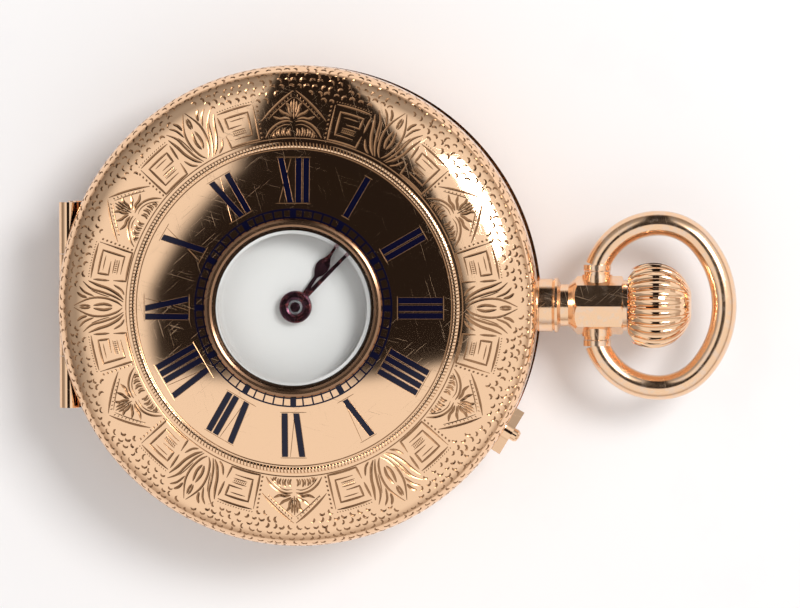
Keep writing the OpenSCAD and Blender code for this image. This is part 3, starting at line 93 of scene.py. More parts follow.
def count(title, text, value, least):
    return IntProperty(name=title, description=text, default=value, min=least)


def colour(title, text, value):
    return FloatVectorProperty(name=title, description=text, default=value, min=0, max=1,
                               size=4, subtype="COLOR")


class WatchCoverSizes(bpy.types.PropertyGroup):
    front_rim: length("Front rim", "Height of the front cover's rim", 7.65)
    front_rise: length("Front rise", "Rise of the front cover's dome over its rim", 3.9)
    back_rim: length("Back rim", "Height of the back cover's rim", 3.35)
    back_flat: length("Back flat", "Radius of the flat that the back stands on", 8)
    wall: length("Wall", "Thickness of the covers", 0.45)
    lip_radius: length("Lip", "Inner radius of the lip that snaps on the band", 15.7)
    lip_height: length("Lip height", "Height of that lip", 0.4)
    seat_radius: length("Window seat", "Radius of the seat of the window ring", 6.27)
    hole_radius: length("Window hole", "Radius of the hole under the window", 5.75)
    seat_depth: length("Seat depth", "Depth of the seat under the dome", 0.12)


class WatchEngravingSizes(bpy.types.PropertyGroup):
    fine: length("Fine cut", "Half width of the finest cuts", 0.045)
    bold: length("Bold cut", "Half width of the bold cuts", 0.085)
    leaf: length("Leaf cut", "Half width of the leaf cuts", 0.11)
    band_start: length("Band start", "Radius where the engraved band starts", 11.85)
    band_end: length("Band end", "Radius where the triangles of the band end", 15.3)
    curl: length("Curl", "Half width of the curled cuts on the edge", 0.09)
    curl_size: length("Curl size", "Radius of the curled cuts on the edge", 0.22)
    curl_start: length("Curl start", "Radius where the curled cuts of the edge start", 13.9)
    curl_pitch: length("Curl pitch", "Distance of the rows of curled cuts", 0.47)
    curls: count("Curls", "Curled cuts in each row round the edge", 160, 60)
    repeats: count("Repeats", "Repeats of the pattern round the cover", 6, 3)
    milled_radius: length("Milled ring", "Radius of the middle of the milled ring", 11.42)
    milled_width: length("Milled width", "Width of the milled ring", 0.42)
    milled_rise: length("Milled rise", "Height of the milled ring over the dome", 0.07)
    milled_teeth: count("Milled teeth", "Teeth on the milled ring", 300, 60)


class WatchHourSizes(bpy.types.PropertyGroup):
    foot_radius: length("Hour feet", "Radius of the feet of the hours on the cover", 7.38)
    head_radius: length("Hour heads", "Radius of the heads of the hours on the cover", 10.46)
    bar: length("Bar", "Width of the thick bars of the hours", 0.4)
    hair: length("Hair line", "Width of the thin lines of the hours", 0.07)
    track_line: length("Track line", "Width of the lines of the minute track", 0.11)
    track_inner: length("Track inside", "Inner radius of the minute track on the cover", 6.33)
    track_outer: length("Track outside", "Outer radius of the minute track on the cover", 6.9)
    dial_foot: length("Dial feet", "Radius of the feet of the hours on the dial", 8.2)
    dial_head: length("Dial heads", "Radius of the heads of the hours on the dial", 11.2)


class WatchBowSizes(bpy.types.PropertyGroup):
    wire: length("Wire", "Radius of the bow's wire", 0.875)
    shoulder: length("Shoulder", "Distance of the bow's widest place from its pins, along the stem", 4.35)
    end: length("End", "Distance of the wire's ends from the stem", 2.77)
    socket: length("Socket", "Distance of the block's sockets from the stem", 2.47)
    pin: length("Pin", "Radius of the bow's pins", 0.45)
    pin_start: length("Pin start", "Distance of the inner ends of the pins from the stem", 1.2)


class WatchColours(bpy.types.PropertyGroup):
    gold: colour("Gold", "Rose gold of the case", (0.91, 0.605, 0.385, 1))
    pale_gold: colour("Pale gold", "Worn and silvery places of the gold", (0.8, 0.64, 0.54, 1))
    bezel_gold: colour("Bezel gold", "Browner gold of the ring round the window", (0.3, 0.17, 0.1, 1))
    # The cut gold is dark partly for the oxide and dirt that real cuts hold, and partly as painted shade
    # standing in for the darkness deep in the grooves
    cut_gold: colour("Cut gold", "Gold in the engraved cuts", (0.34, 0.185, 0.095, 1))
    enamel_blue: colour("Blue enamel", "Enamel of the hours on the cover", (0.003, 0.003, 0.016, 1))
    enamel_black: colour("Black enamel", "Enamel of the hours on the dial", (0.012, 0.012, 0.014, 1))
    enamel_white: colour("White enamel", "Enamel of the dial", (0.92, 0.92, 0.9, 1))
    hand_blue: colour("Hand blue", "Blued steel of the hands", (0.075, 0.03, 0.045, 1))
    screw_blue: colour("Screw blue", "Blued screws", (0.03, 0.06, 0.3, 1))
    steel: colour("Steel", "Steel of the winding work", (0.56, 0.57, 0.58, 1))
    steel_shade: colour("Steel shade", "Duller places of the steel", (0.42, 0.42, 0.44, 1))
    brass: colour("Brass", "Brass of the wheels", (0.8, 0.56, 0.25, 1))
    brass_shade: colour("Brass shade", "Duller places of the brass", (0.6, 0.4, 0.16, 1))
    gilt: colour("Gilt", "Frosted gilding of the plates", (0.78, 0.52, 0.2, 1))
    gilt_shade: colour("Gilt shade", "Darker places of the gilding", (0.6, 0.38, 0.14, 1))
    ruby: colour("Ruby", "Jewels", (0.5, 0.02, 0.08, 1))
    ruby_cloud: colour("Ruby cloud", "Paler clouds in the jewels", (0.7, 0.08, 0.16, 1))
    glass: colour("Glass", "Glass of the window and of the dial", (0.985, 0.99, 0.99, 1))
    paper: colour("Paper", "Paper under the watch", (0.88, 0.865, 0.865, 1))


class WatchStage(bpy.types.PropertyGroup):
    tilt: angle("Camera tilt", "Lean of the camera towards the bow", 4.3)
    nod: angle("Camera nod", "Lean of the camera towards twelve", 2.6)
    distance: length("Camera distance", "Distance of the camera", 316)
    look_x: length("Look at X", "Point that the camera looks at, along the stem", 7.05)
    look_y: length("Look at Y", "Point that the camera looks at, across the stem", 0.04)
    look_z: length("Look at Z", "Height of the point that the camera looks at", 5.5)
    lens: FloatProperty(name="Lens", description="Focal length in millimetres", default=200,
                        unit="CAMERA", subtype="DISTANCE_CAMERA")
    paper_width: length("Paper width", "Width of the paper", 1600)
    backdrop: colour("Backdrop", "Surroundings as the camera sees them", (0.93, 0.925, 0.925, 1))
    high_light: colour("High light", "Surroundings overhead", (0.98, 0.975, 0.97, 1))
    low_light: colour("Low light", "Surroundings near the paper", (0.55, 0.49, 0.45, 1))
    dark_gap: colour("Dark gap", "Dark places that the gold mirrors", (0.019, 0.0145, 0.0125, 1))


# Small helpers for meshes

SMOOTH_ANGLE = 30
COVER_SMOOTH_ANGLE = 24


def new_object(name, data):
    made = bpy.data.objects.new(name, data)
    bpy.context.collection.objects.link(made)
    return made


def smooth(mesh, degrees):
    mesh.shade_smooth()
    mesh.set_sharp_from_angle(angle=math.radians(degrees))


def finished(builder, name, smooth_angle=SMOOTH_ANGLE):
    """Mesh object from a bmesh, with its faces turned outwards."""
    bmesh.ops.remove_doubles(builder, verts=builder.verts, dist=1e-7)
    bmesh.ops.recalc_face_normals(builder, faces=builder.faces)
    mesh = bpy.data.meshes.new(name)
    builder.to_mesh(mesh)
    builder.free()
    smooth(mesh, smooth_angle)
    return new_object(name, mesh)


def turned(profile, steps, name, smooth_angle=SMOOTH_ANGLE):
    """Solid turned round Z from a closed outline of (radius, height) points."""
    builder = bmesh.new()
    corners = [builder.verts.new((r, 0, z)) for r, z in profile]
    edges = [builder.edges.new((a, b)) for a, b in zip(corners, corners[1:] + corners[:1])]
    bmesh.ops.spin(builder, geom=corners + edges, cent=(0, 0, 0), axis=(0, 0, 1),
                   angle=math.tau, steps=steps, use_merge=True)
    return finished(builder, name, smooth_angle)


def rod(name, start, end, radius, sides=64):
    """Closed round rod between two points."""
    builder = bmesh.new()
    line = end - start
    place = Matrix.Translation((start + end) / 2) @ line.to_track_quat("Z", "Y").to_matrix().to_4x4()
    bmesh.ops.create_cone(builder, cap_ends=True, segments=sides, radius1=radius, radius2=radius,
                          depth=line.length, matrix=place)
    return finished(builder, name)


def evaluated(piece):
    """The piece's mesh with its modifiers or its curve worked out."""
    return bpy.data.meshes.new_from_object(piece.evaluated_get(bpy.context.evaluated_depsgraph_get()))


def carved(body, tool, operation="DIFFERENCE"):
    """Cuts the tool out of the body, or joins it on, and deletes the tool."""
    step = body.modifiers.new("carve", "BOOLEAN")
    step.operation = operation
    step.solver = "MANIFOLD"
    step.object = tool
    shape = evaluated(body)
    body.modifiers.clear()
    body.data = shape
    bpy.data.objects.remove(tool)


def joined(piece, other):
    """Adds the other piece's mesh to the first and deletes the other."""
    builder = bmesh.new()
    builder.from_mesh(piece.data)
    builder.from_mesh(other.data)
    builder.to_mesh(piece.data)
    builder.free()
    bpy.data.objects.remove(other)
    smooth(piece.data, SMOOTH_ANGLE)


def solid_of(curve, name):
    """Closed mesh object from a curve, which is deleted."""
    drawn = new_object(curve.name, curve)
    mesh = evaluated(drawn)
    bpy.data.objects.remove(drawn)
    builder = bmesh.new()
    builder.from_mesh(mesh)
    return finished(builder, name)


def add_materials(piece, *names):
    piece.data.materials.clear()
    for name in names:
        piece.data.materials.append(finish(name))


# Shape of the domes


def dome_height(r, rim, rise):
    return rim + rise * math.sqrt(math.cos(math.asin(min(1, r / CASE_RADIUS))))


def front_height(r):
    sizes = bpy.context.scene.watch_covers
    return dome_height(r, sizes.front_rim, sizes.front_rise)


def polar(r, degrees, z=0):
    turn = math.radians(degrees)
    return Vector((r * math.cos(turn), r * math.sin(turn), z))


def on_front(r, degrees, lift=0):
    return polar(r, degrees, front_height(r) + lift)


def dome_profile(rim, rise, start, radius, rings, clip=1):
    """Points of one dome from its start to its rim, closer together where it bends more."""
    first = math.asin(start / radius)
    turns = [first + (math.pi / 2 - first) * i / rings for i in range(rings + 1)]
    return [(radius * math.sin(t), rim + rise * min(1, math.sqrt(max(0, math.cos(t))) / clip))
            for t in turns]


def dome_normal(place):
    """Direction square to the front dome, at one of its points that isn't quite on the rim."""
    sine = min(0.999, place.xy.length / CASE_RADIUS)
    slope = bpy.context.scene.watch_covers.front_rise * sine / (2 * CASE_RADIUS * (1 - sine * sine) ** 0.75)
    return Vector((*(place.xy.normalized() * slope), 1)).normalized()


# Engraved cuts: each is a curve laid on the dome, narrow at its ends, that becomes a closed tool

TAPER_RATE = 3  # Growth of a cut's width over the cut's length, as a share of its full width


def cut_outline():
    """Closed outline of a cut, one millimetre to each side and half a millimetre deep."""
    curve = bpy.data.curves.new("cut_outline", "CURVE")
    line = curve.splines.new("POLY")
    line.points.add(3)
    for spot, place in zip(line.points, ((1, 0), (0, 0.5), (-1, 0), (0, -0.5))):
        spot.co = (*(Vector(place) * MM), 0, 1)
    line.use_cyclic_u = True
    return new_object("cut_outline", curve)


def upright_curve(name):
    curve = bpy.data.curves.new(name, "CURVE")
    curve.dimensions = "3D"
    curve.twist_mode = "Z_UP"
    curve.use_fill_caps = True
    return curve


def add_cut(curve, places, half_width, closed=False, start=0.3, end=0.3):
    """One cut through the places, turned so that its outline stands square to the dome."""
    line = curve.splines.new("POLY")
    line.points.add(len(places) - 1)
    line.use_cyclic_u = closed
    last = len(places) - 1
    for i, (spot, place) in enumerate(zip(line.points, places)):
        taper = 1 if closed else min(1, start + TAPER_RATE * i / last, end + TAPER_RATE * (1 - i / last))
        spot.co = (*place, 1)
        spot.radius = half_width / MM * taper
        before = places[i - 1 if closed else max(i - 1, 0)]
        after = places[(i + 1) % len(places) if closed else min(i + 1, last)]
        along = (after - before).normalized()
        upright = Vector((0, 0, 1)) - along * along.z
        normal = dome_normal(place)
        spot.tilt = math.atan2(along.dot(upright.cross(normal)), upright.dot(normal))


def cut_tool(curve):
    """Solid of all cuts, whose faces take the second material."""
    tool = solid_of(curve, "cut_tool")
    bpy.data.objects.remove(curve.bevel_object)
    for face in tool.data.polygons:
        face.material_index = 1
    return tool


def flowing(points, steps=4):
    """Smooth line through a few points."""
    points = [Vector(p) for p in points]
    line = []
    for a, b, c, d in zip([points[0]] + points, points, points[1:], points[2:] + [points[-1]]):
        for i in range(steps):
            t = i / steps
            line.append((2 * b + (c - a) * t + (2 * a - 5 * b + 4 * c - d) * t * t
                         + (3 * b - a - 3 * c + d) * t ** 3) / 2)
    return line + [points[-1]]


def straight(points, steps=4):
    """Line with corners at a few points."""
    points = [Vector(p) for p in points]
    line = [a.lerp(b, i / steps) for a, b in zip(points, points[1:]) for i in range(steps)]
    return line + [points[-1]]


# Motifs of one repeat, mirrored at the palmette: lines of (degrees from it, share of the band's width),
# each with the name of its half width


def palmette_lines():
    """Half of the hatched triangle with its palmette, and of the arc with leaves under it."""
    yield straight([(0.3, 0.97), (4.9, 0.7), (9.9, 0.4)]), "bold"
    yield straight([(0.3, 0.84), (4.2, 0.62), (7.9, 0.41)]), "fine"
    for i in range(9):
        t = (i + 0.7) / 9.6
        yield straight([(0.3 + 8.4 * t, 0.93 - 0.52 * t), (0.25 + 8 * t, 0.87 - 0.48 * t)], 2), "fine"
    yield flowing([(0.5, 0.44), (1.3, 0.55), (1.5, 0.65), (2.4, 0.73)]), "leaf"
    yield flowing([(0.9, 0.43), (2.2, 0.49), (3.2, 0.52), (4.3, 0.6)]), "leaf"
    yield flowing([(1.1, 0.385), (2.8, 0.41), (4.4, 0.4), (6.2, 0.46)]), "leaf"
    yield flowing([(0.3, 0.5), (0.75, 0.62), (0.7, 0.76)]), "bold"
    yield flowing([(0.5, 0.335), (2.6, 0.35), (5.2, 0.3), (7.6, 0.19), (9.4, 0.05)]), "bold"
    yield flowing([(0.6, 0.265), (2.6, 0.28), (4.9, 0.23), (6.8, 0.135), (7.9, 0.05)]), "fine"
    for degrees, low, bend in ((0.9, 0.05, 1), (2.6, 0.05, 1.1), (4.3, 0.05, 1), (5.9, 0.03, 0.7)):
        high = low + 0.155 * bend
        blade = [(degrees, low), (degrees + 0.55, (low + high) / 2), (degrees + 0.1, high)]
        vein = [(degrees + 0.85, low), (degrees + 1.2, low + 0.06), (degrees + 0.95, high - 0.02)]
        yield flowing(blade, 3), "bold"
        yield flowing(vein, 3), "fine"
    for i in range(8):
        q = 0.05 + 0.092 * i
        yield straight([(10.3, q), (10.8, q + 0.04)], 2), "bold"


def fret_lines():
    """Squared spiral with a hatched bar, in its frame."""
    yield straight([(11.6, 0.76), (11.5, 0.04), (21.3, 0.04), (21.7, 0.3)]), "bold"
    yield straight([(12, 0.775), (22, 0.775)], 8), "bold"
    yield straight([(21.9, 0.38), (22.2, 0.72)]), "bold"
    spiral = [(19.4, 0.17), (13.5, 0.17), (13.5, 0.64), (20.3, 0.64), (20.2, 0.42), (16.0, 0.42)]
    yield straight(spiral), "bold"
    yield straight([(14.7, 0.55), (19.2, 0.55)]), "fine"
    yield straight([(15.0, 0.25), (19.6, 0.25)]), "fine"
    yield straight([(15.0, 0.34), (19.6, 0.34)]), "fine"
    for i in range(7):
        degrees = 15.3 + 0.6 * i
        yield straight([(degrees, 0.268), (degrees + 0.3, 0.322)], 2), "fine"
    for i in range(14):
        degrees = 11.7 + 0.75 * i
        yield straight([(degrees, 0.815), (degrees + 0.35, 0.84)], 2), "fine"


def lotus_lines():
    """Half of the lotus that stands between two frets."""
    yield flowing([(29.75, 0.07), (28.3, 0.2), (27.3, 0.45), (27.6, 0.75), (29.75, 1.1)]), "bold"
    yield flowing([(29.7, 0.28), (29.1, 0.45), (29.6, 0.68)], 3), "leaf"
    yield flowing([(29.8, 0.74), (29.6, 0.86), (29.8, 0.98)], 2), "bold"
    yield flowing([(28.3, 0.05), (26.7, 0.24), (25.6, 0.5), (24.9, 0.74), (23.2, 0.93)]), "bold"
    yield flowing([(27.6, 0.05), (25.9, 0.17), (24.4, 0.38), (23.7, 0.6), (22.8, 0.82)]), "leaf"
    yield flowing([(26.9, 0.34), (26.2, 0.55), (25.4, 0.74)], 3), "fine"
    yield flowing([(25.9, 0.04), (24.2, 0.12), (23.0, 0.28)], 3), "bold"
    yield flowing([(24.6, 1.0), (26.0, 0.88), (26.9, 0.68)], 3), "bold"
    yield flowing([(26.2, 1.04), (27.1, 0.94), (27.4, 0.82)], 3), "leaf"


def cut_pattern(curve, sizes):
    """Repeats the motifs round the band, each with its mirror image and the palmette's middle leaf."""
    width = sizes.band_end - sizes.band_start
    turn = 360 / sizes.repeats
    lines = [*palmette_lines(), *fret_lines(), *lotus_lines()]
    for i in range(sizes.repeats):
        for side in (-1, 1):
            for line, kind in lines:
                add_cut(curve, [on_front(sizes.band_start + q * width, 90 + i * turn + side * degrees)
                                for degrees, q in line], getattr(sizes, kind))
        middle = [on_front(sizes.band_start + q * width, 90 + i * turn) for q in (0.4, 0.5, 0.6, 0.7, 0.8)]
        add_cut(curve, middle, sizes.bold)


def milled_lift(r, sizes):
    """Height of the milled ring's ridge over the dome."""
    aside = (r - sizes.milled_radius) / (sizes.milled_width / 2)
    return sizes.milled_rise * math.sqrt(max(0, 1 - aside * aside))


def cut_rings(curve, sizes):
    """Plain rings beside the milled ring, and the slanting gaps between its teeth."""
    for r in (sizes.band_start, sizes.milled_radius - sizes.milled_width * 0.78):
        add_cut(curve, [on_front(r, i) for i in range(360)], sizes.fine, closed=True)
    half, slant, gap = sizes.milled_width / 2, 0.3, sizes.fine * 1.15
    for i in range(sizes.milled_teeth):
        degrees = 360 * i / sizes.milled_teeth
        places = []
        for share in (-0.9, -0.45, 0.45, 0.9):
            r = sizes.milled_radius + share * half
            places.append(on_front(r, degrees + slant * share, milled_lift(r, sizes)))
        add_cut(curve, places, gap, start=0.8, end=0.8)


def milled_profile(outer, sizes, steps=10):
    """The dome's outline with the ridge of the milled ring put in."""
    low = sizes.milled_radius - sizes.milled_width / 2
    high = sizes.milled_radius + sizes.milled_width / 2
    radii = [low + (high - low) * (1 - math.cos(math.pi * i / steps)) / 2 for i in range(steps + 1)]
    ridge = [(r, front_height(r) + milled_lift(r, sizes)) for r in radii]
    return [p for p in outer if p[0] < low] + ridge + [p for p in outer if p[0] > high]


class Meridian:
    """Points of the dome by their distance over the rounded edge from a start radius."""

    def __init__(self, start, steps=240, rim_margin=0.002):
        first = math.asin(start / CASE_RADIUS)
        turns = [first + (math.pi / 2 - rim_margin - first) * i / steps for i in range(steps + 1)]
        self.points = [(CASE_RADIUS * math.sin(t), front_height(CASE_RADIUS * math.sin(t))) for t in turns]
        self.lengths = [0]
        for a, b in zip(self.points, self.points[1:]):
            self.lengths.append(self.lengths[-1] + math.dist(a, b))

    def place(self, degrees, reach):
        """Point at an angle in degrees and a distance over the edge."""
        i = next((k for k, s in enumerate(self.lengths) if s >= reach), len(self.points) - 1)
        r, z = self.points[i]
        return polar(r, degrees, z)


def pattern_edge(degrees):
    """Radius in millimetres where the pattern ends, at an angle in degrees from the nearest palmette."""
    places = ((0, 15.45), (5, 14.75), (10.6, 14.1), (11, 14.8), (22.4, 14.85), (25.5, 15.3), (30, 15.95))
    for (a, low), (b, high) in zip(places, places[1:]):
        if degrees <= b:
            return low + (high - low) * (degrees - a) / (b - a)
    return places[-1][1]


def cut_edge_curls(curve, sizes):
    """Flowing field of curled cuts between the pattern and the cover's rim.

    Larger or closer curls overlap more, and much overlap can hang the boolean.
    """
    rim_gap, pattern_gap = 0.3 * MM, 0.2
    waves, shift, sway, scatter = 3, 80, 50, 30
    edge = Meridian(sizes.curl_start)
    chance = random.Random(11)
    degree = CASE_RADIUS * math.pi / 180
    turn = 360 / sizes.repeats
    for row in range(int((edge.lengths[-1] - rim_gap) / sizes.curl_pitch)):
        reach = (row + 0.6) * sizes.curl_pitch
        side = 1 if row % 2 else -1
        for i in range(sizes.curls):
            middle = (i + 0.5 * (row % 2)) * 360 / sizes.curls + chance.uniform(-0.3, 0.3)
            near = abs((middle - 90 + turn / 2) % turn - turn / 2)
            if edge.place(middle, reach).xy.length < (pattern_edge(near) + pattern_gap) * MM:
                continue
            swirl = math.sin(math.radians(middle * sizes.repeats * waves + shift * row))
            lean = sway * swirl + chance.uniform(-scatter, scatter)
            radius = sizes.curl_size * chance.uniform(0.8, 1.15)
            line = []
            for bend in (0, 40, 80, 120, 155):
                x, y = polar(radius, lean + bend).xy
                line.append(edge.place(middle + side * x / degree, reach + y - 0.5 * radius))
            add_cut(curve, line, sizes.curl * chance.uniform(0.8, 1.1), start=0.05, end=0.45)


# The covers

TURN_STEPS = 360
OUTER_RINGS, INNER_RINGS = 44, 20
HINGE_PIN = 0.3 * MM
PIN_PLAY = 0.03 * MM
KNUCKLE = 0.7 * MM
KNUCKLE_HALF = 3.6 * MM
KNUCKLE_ROOM = 1.15 * MM
END_ROOM = 0.15 * MM
PENDANT_ROOM = 2.0 * MM


def cover_profile(rim, rise, start, inner_start, clip, sizes):
    """Outlines of a domed cover: its outside with the lip at the rim, and its inside from there back."""
    up = 1 if rise > 0 else -1
    inner_radius = CASE_RADIUS - sizes.wall
    outer = dome_profile(rim, rise, start, CASE_RADIUS, OUTER_RINGS, clip)
    inner = dome_profile(rim, rise - sizes.wall * up, inner_start, inner_radius, INNER_RINGS, clip)
    lip = rim + sizes.lip_height * up
    inside = [(r, z) for r, z in inner if abs(z - rim) > sizes.lip_height]
    return outer + [(sizes.lip_radius, rim), (sizes.lip_radius, lip), (inner_radius, lip)], inside[::-1]


def cut_hinge(cover, level, sizes):
    """Middle knuckle with the pin's hole, room for the band's knuckles, and room for the pendant."""
    low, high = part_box("front_hinge_pin")
    x = (low.x + high.x) / 2
    hole = (high.x - low.x) / 2 + PIN_PLAY
    end = high.y + END_ROOM
    for side in (-1, 1):
        start, stop = Vector((x, side * KNUCKLE_HALF, level)), Vector((x, side * end, level))
        carved(cover, rod("room", start, stop, KNUCKLE_ROOM))
    knuckle = rod("knuckle", Vector((x, -KNUCKLE_HALF, level)), Vector((x, KNUCKLE_HALF, level)), KNUCKLE)
    carved(cover, knuckle, "UNION")
    carved(cover, rod("pin_hole", Vector((x, -end, level)), Vector((x, end, level)), hole))
    start = Vector((sizes.lip_radius - MM, 0, STEM_HEIGHT))
    carved(cover, rod("pendant_room", start, start + Vector((3 * MM, 0, 0)), PENDANT_ROOM, 96))


class WATCH_OT_front_cover(bpy.types.Operator):
    """Makes the front cover with its milled ring, and engraves it with real cuts"""

    bl_idname = "watch.front_cover"
    bl_label = "Engraved front cover"

    def execute(self, context):
        sizes = context.scene.watch_covers
        cuts = context.scene.watch_engraving
        profile, inside = cover_profile(sizes.front_rim, sizes.front_rise, sizes.seat_radius,
                                        sizes.hole_radius, 1, sizes)
        seat = front_height(sizes.seat_radius) - sizes.seat_depth
        hole = [(sizes.hole_radius, seat), (sizes.seat_radius, seat)]
        cover = turned(milled_profile(profile, cuts) + inside + hole, TURN_STEPS, "front_cover_engraved")
        cut_hinge(cover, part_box("front_hinge_pin")[0].z + HINGE_PIN, sizes)
        curve = upright_curve("engraving")
        curve.bevel_mode = "OBJECT"
        curve.bevel_object = cut_outline()
        cut_rings(curve, cuts)
        cut_pattern(curve, cuts)
        cut_edge_curls(curve, cuts)
        cut_hours(curve, context.scene.watch_hours)
        # The cuts' faces take the cut gold, darkened partly as dirt and partly as painted shade in the
        # grooves
        add_materials(cover, "polished gold", "cut gold")
        carved(cover, cut_tool(curve))
        smooth(cover.data, COVER_SMOOTH_ANGLE)
        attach(cover, "front_cover")
        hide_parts("front_cover")
        return {"FINISHED"}


class WATCH_OT_back_cover(bpy.types.Operator):
    """Makes the plain polished back cover with its flat"""

    bl_idname = "watch.back_cover"
    bl_label = "Back cover"

    def execute(self, context):
        sizes = context.scene.watch_covers
        clip = math.sqrt(math.cos(math.asin(sizes.back_flat / CASE_RADIUS)))
        profile, inside = cover_profile(sizes.back_rim, -sizes.back_rim, sizes.back_flat,
                                        sizes.back_flat, clip, sizes)
        middle = [(0, sizes.wall), (0, 0)]
        cover = turned(profile + inside + middle, TURN_STEPS, "back_cover_polished")
        cut_hinge(cover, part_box("back_hinge_pin")[0].z + HINGE_PIN, sizes)
        add_materials(cover, "polished gold")
        smooth(cover.data, COVER_SMOOTH_ANGLE)
        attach(cover, "back_cover")
        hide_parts("back_cover")
        return {"FINISHED"}


# The bow

EYE_EXTRA = 0.1 * MM  # The eyes round the bow's pins stand out this much from the wire
CORNER_LESS = 0.7 * MM  # The arc after the shoulder is this much tighter than the one before it


def bow_line(sizes):
    """Middle line of the bow's wire, from one pin over the far end to the other pin."""
    low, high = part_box("bow")
    pins = low.x + sizes.wire + EYE_EXTRA
    top, half = pins + sizes.shoulder, high.y - sizes.wire
    far = high.x - sizes.wire
    side = (sizes.shoulder ** 2 + (half - sizes.end) ** 2) / (2 * (half - sizes.end))
    corner = side - CORNER_LESS
    rise = half - corner
    turn = 2 * math.atan((far - top - corner) / rise)
    end = corner + rise / math.sin(turn)
    first = math.pi - math.atan2(sizes.end - half + side, sizes.shoulder)
    upper = []
    for x, y, radius, start, stop, steps in ((top, half - side, side, first, math.pi / 2, 16),
                                             (top, rise, corner, math.pi / 2, turn, 14),
                                             (far - end, 0, end, turn, 0, 20)):
        for i in range(steps):
            way = start + (stop - start) * i / steps
            upper.append(Vector((x + radius * math.cos(way), y + radius * math.sin(way), STEM_HEIGHT)))
    return upper + [Vector((far, 0, STEM_HEIGHT))] + [Vector((p.x, -p.y, p.z)) for p in reversed(upper)]


class WATCH_OT_bow(bpy.types.Operator):
    """Sweeps the worn bow in one smooth piece, with its eyes and pins"""

    bl_idname = "watch.bow"
    bl_label = "Bow"

    def execute(self, context):
        sizes = context.scene.watch_bow
        curve = upright_curve("bow_line")
        curve.bevel_depth = sizes.wire
        curve.bevel_resolution = 7
        line = curve.splines.new("POLY")
        places = bow_line(sizes)
        line.points.add(len(places) - 1)
        for spot, place in zip(line.points, places):
            spot.co = (*place, 1)
        bow = solid_of(curve, "bow_worn")
        eye = sizes.wire + EYE_EXTRA, sizes.socket, sizes.end + EYE_EXTRA
        pin = sizes.pin, sizes.pin_start, sizes.end
        for side in (-1, 1):
            for radius, *ends in (eye, pin):
                start, end = (Vector((places[0].x, side * y, STEM_HEIGHT)) for y in ends)
                carved(bow, rod("bow_end", start, end, radius), "UNION")
        smooth(bow.data, SMOOTH_ANGLE)
        add_materials(bow, "worn gold")
        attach(bow, "bow")
        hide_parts("bow")
        return {"FINISHED"}


# Hours: a letter is its strokes and its width, in bar widths; a stroke is its foot, its head and
# whether it is a bar or a hair line. A place on an hour is (distance aside, radius)

NUMERALS = ("XII", "I", "II", "III", "IIII", "V", "VI", "VII", "VIII", "IX", "X", "XI")
LETTERS = {
    "I": (((0.5, 0.5, True),), 1),
    "V": (((1.5, 0.5, True), (1.75, 2.6, False)), 2.7),
    "X": (((2.3, 0.6, True), (0.35, 2.4, False)), 2.9),
}
LETTER_SPACE = 0.34
SERIF_REACH = 0.3
HOUR_TURN, MINUTE_TURN = 30, 6
ENAMEL_DEPTH = 0.06 * MM
ENAMEL_PROUD = 0.012 * MM
DIAL_TRACK_INNER, DIAL_TRACK_OUTER = 0.5 * MM, 0.95 * MM


def hour_strokes(text, foot, head, sizes):
    """Bars and hair lines of one hour, each as its foot, its head and whether it is a bar."""
    wide = sum(LETTERS[letter][1] for letter in text) + LETTER_SPACE * (len(text) - 1)
    left = -wide / 2
    for letter in text:
        strokes, width = LETTERS[letter]
        for foot_at, head_at, thick in strokes:
            yield ((left + foot_at) * sizes.bar, foot), ((left + head_at) * sizes.bar, head), thick
        left += width + LETTER_SPACE
    reach = (wide / 2 + SERIF_REACH) * sizes.bar
    for level in (foot - sizes.hair, head + sizes.hair):
        yield (-reach, level), (reach, level), False


def laid(degrees, spot, height_of):
    """Point of an hour at an angle in degrees, laid on a surface."""
    flat = polar(spot[1], degrees) + polar(spot[0], degrees - 90)
    return Vector((flat.x, flat.y, height_of(flat.length)))


def bar_on(builder, degrees, start, end, width, height_of, steps=8):
    """Bar between two places, laid on a surface and sunk in it."""
    start, end = Vector(start), Vector(end)
    aside = Vector((0, width)) if start.y == end.y else Vector((width, 0))
    made = bmesh.ops.create_grid(builder, x_segments=1, y_segments=steps, size=0.5)["verts"]
    for corner in made:
        corner.co = laid(degrees, start.lerp(end, corner.co.y + 0.5) + aside * corner.co.x, height_of)
    faces = list({face for corner in made for face in corner.link_faces})
    grown = bmesh.ops.extrude_face_region(builder, geom=faces, use_keep_orig=True)["geom"]
    sunk = [item for item in grown if isinstance(item, bmesh.types.BMVert)]
    bmesh.ops.translate(builder, vec=(0, 0, -ENAMEL_DEPTH), verts=sunk)


def cut_hours(curve, sizes, steps=8):
    """Hair lines of the hours on the cover, and a fine line along each side of their bars."""
    for hour, text in enumerate(NUMERALS):
        for start, end, thick in hour_strokes(text, sizes.foot_radius, sizes.head_radius, sizes):
            start, end = Vector(start), Vector(end)
            sides, share = ((-0.54, 0.54), 0.25) if thick else ((0,), 0.35)
            for side in sides:
                aside = Vector((side * sizes.bar, 0))
                spots = [start.lerp(end, i / steps) + aside for i in range(steps + 1)]
                places = [laid(90 - HOUR_TURN * hour, spot, front_height) for spot in spots]
                add_cut(curve, places, sizes.hair * share, start=0.6, end=0.6)


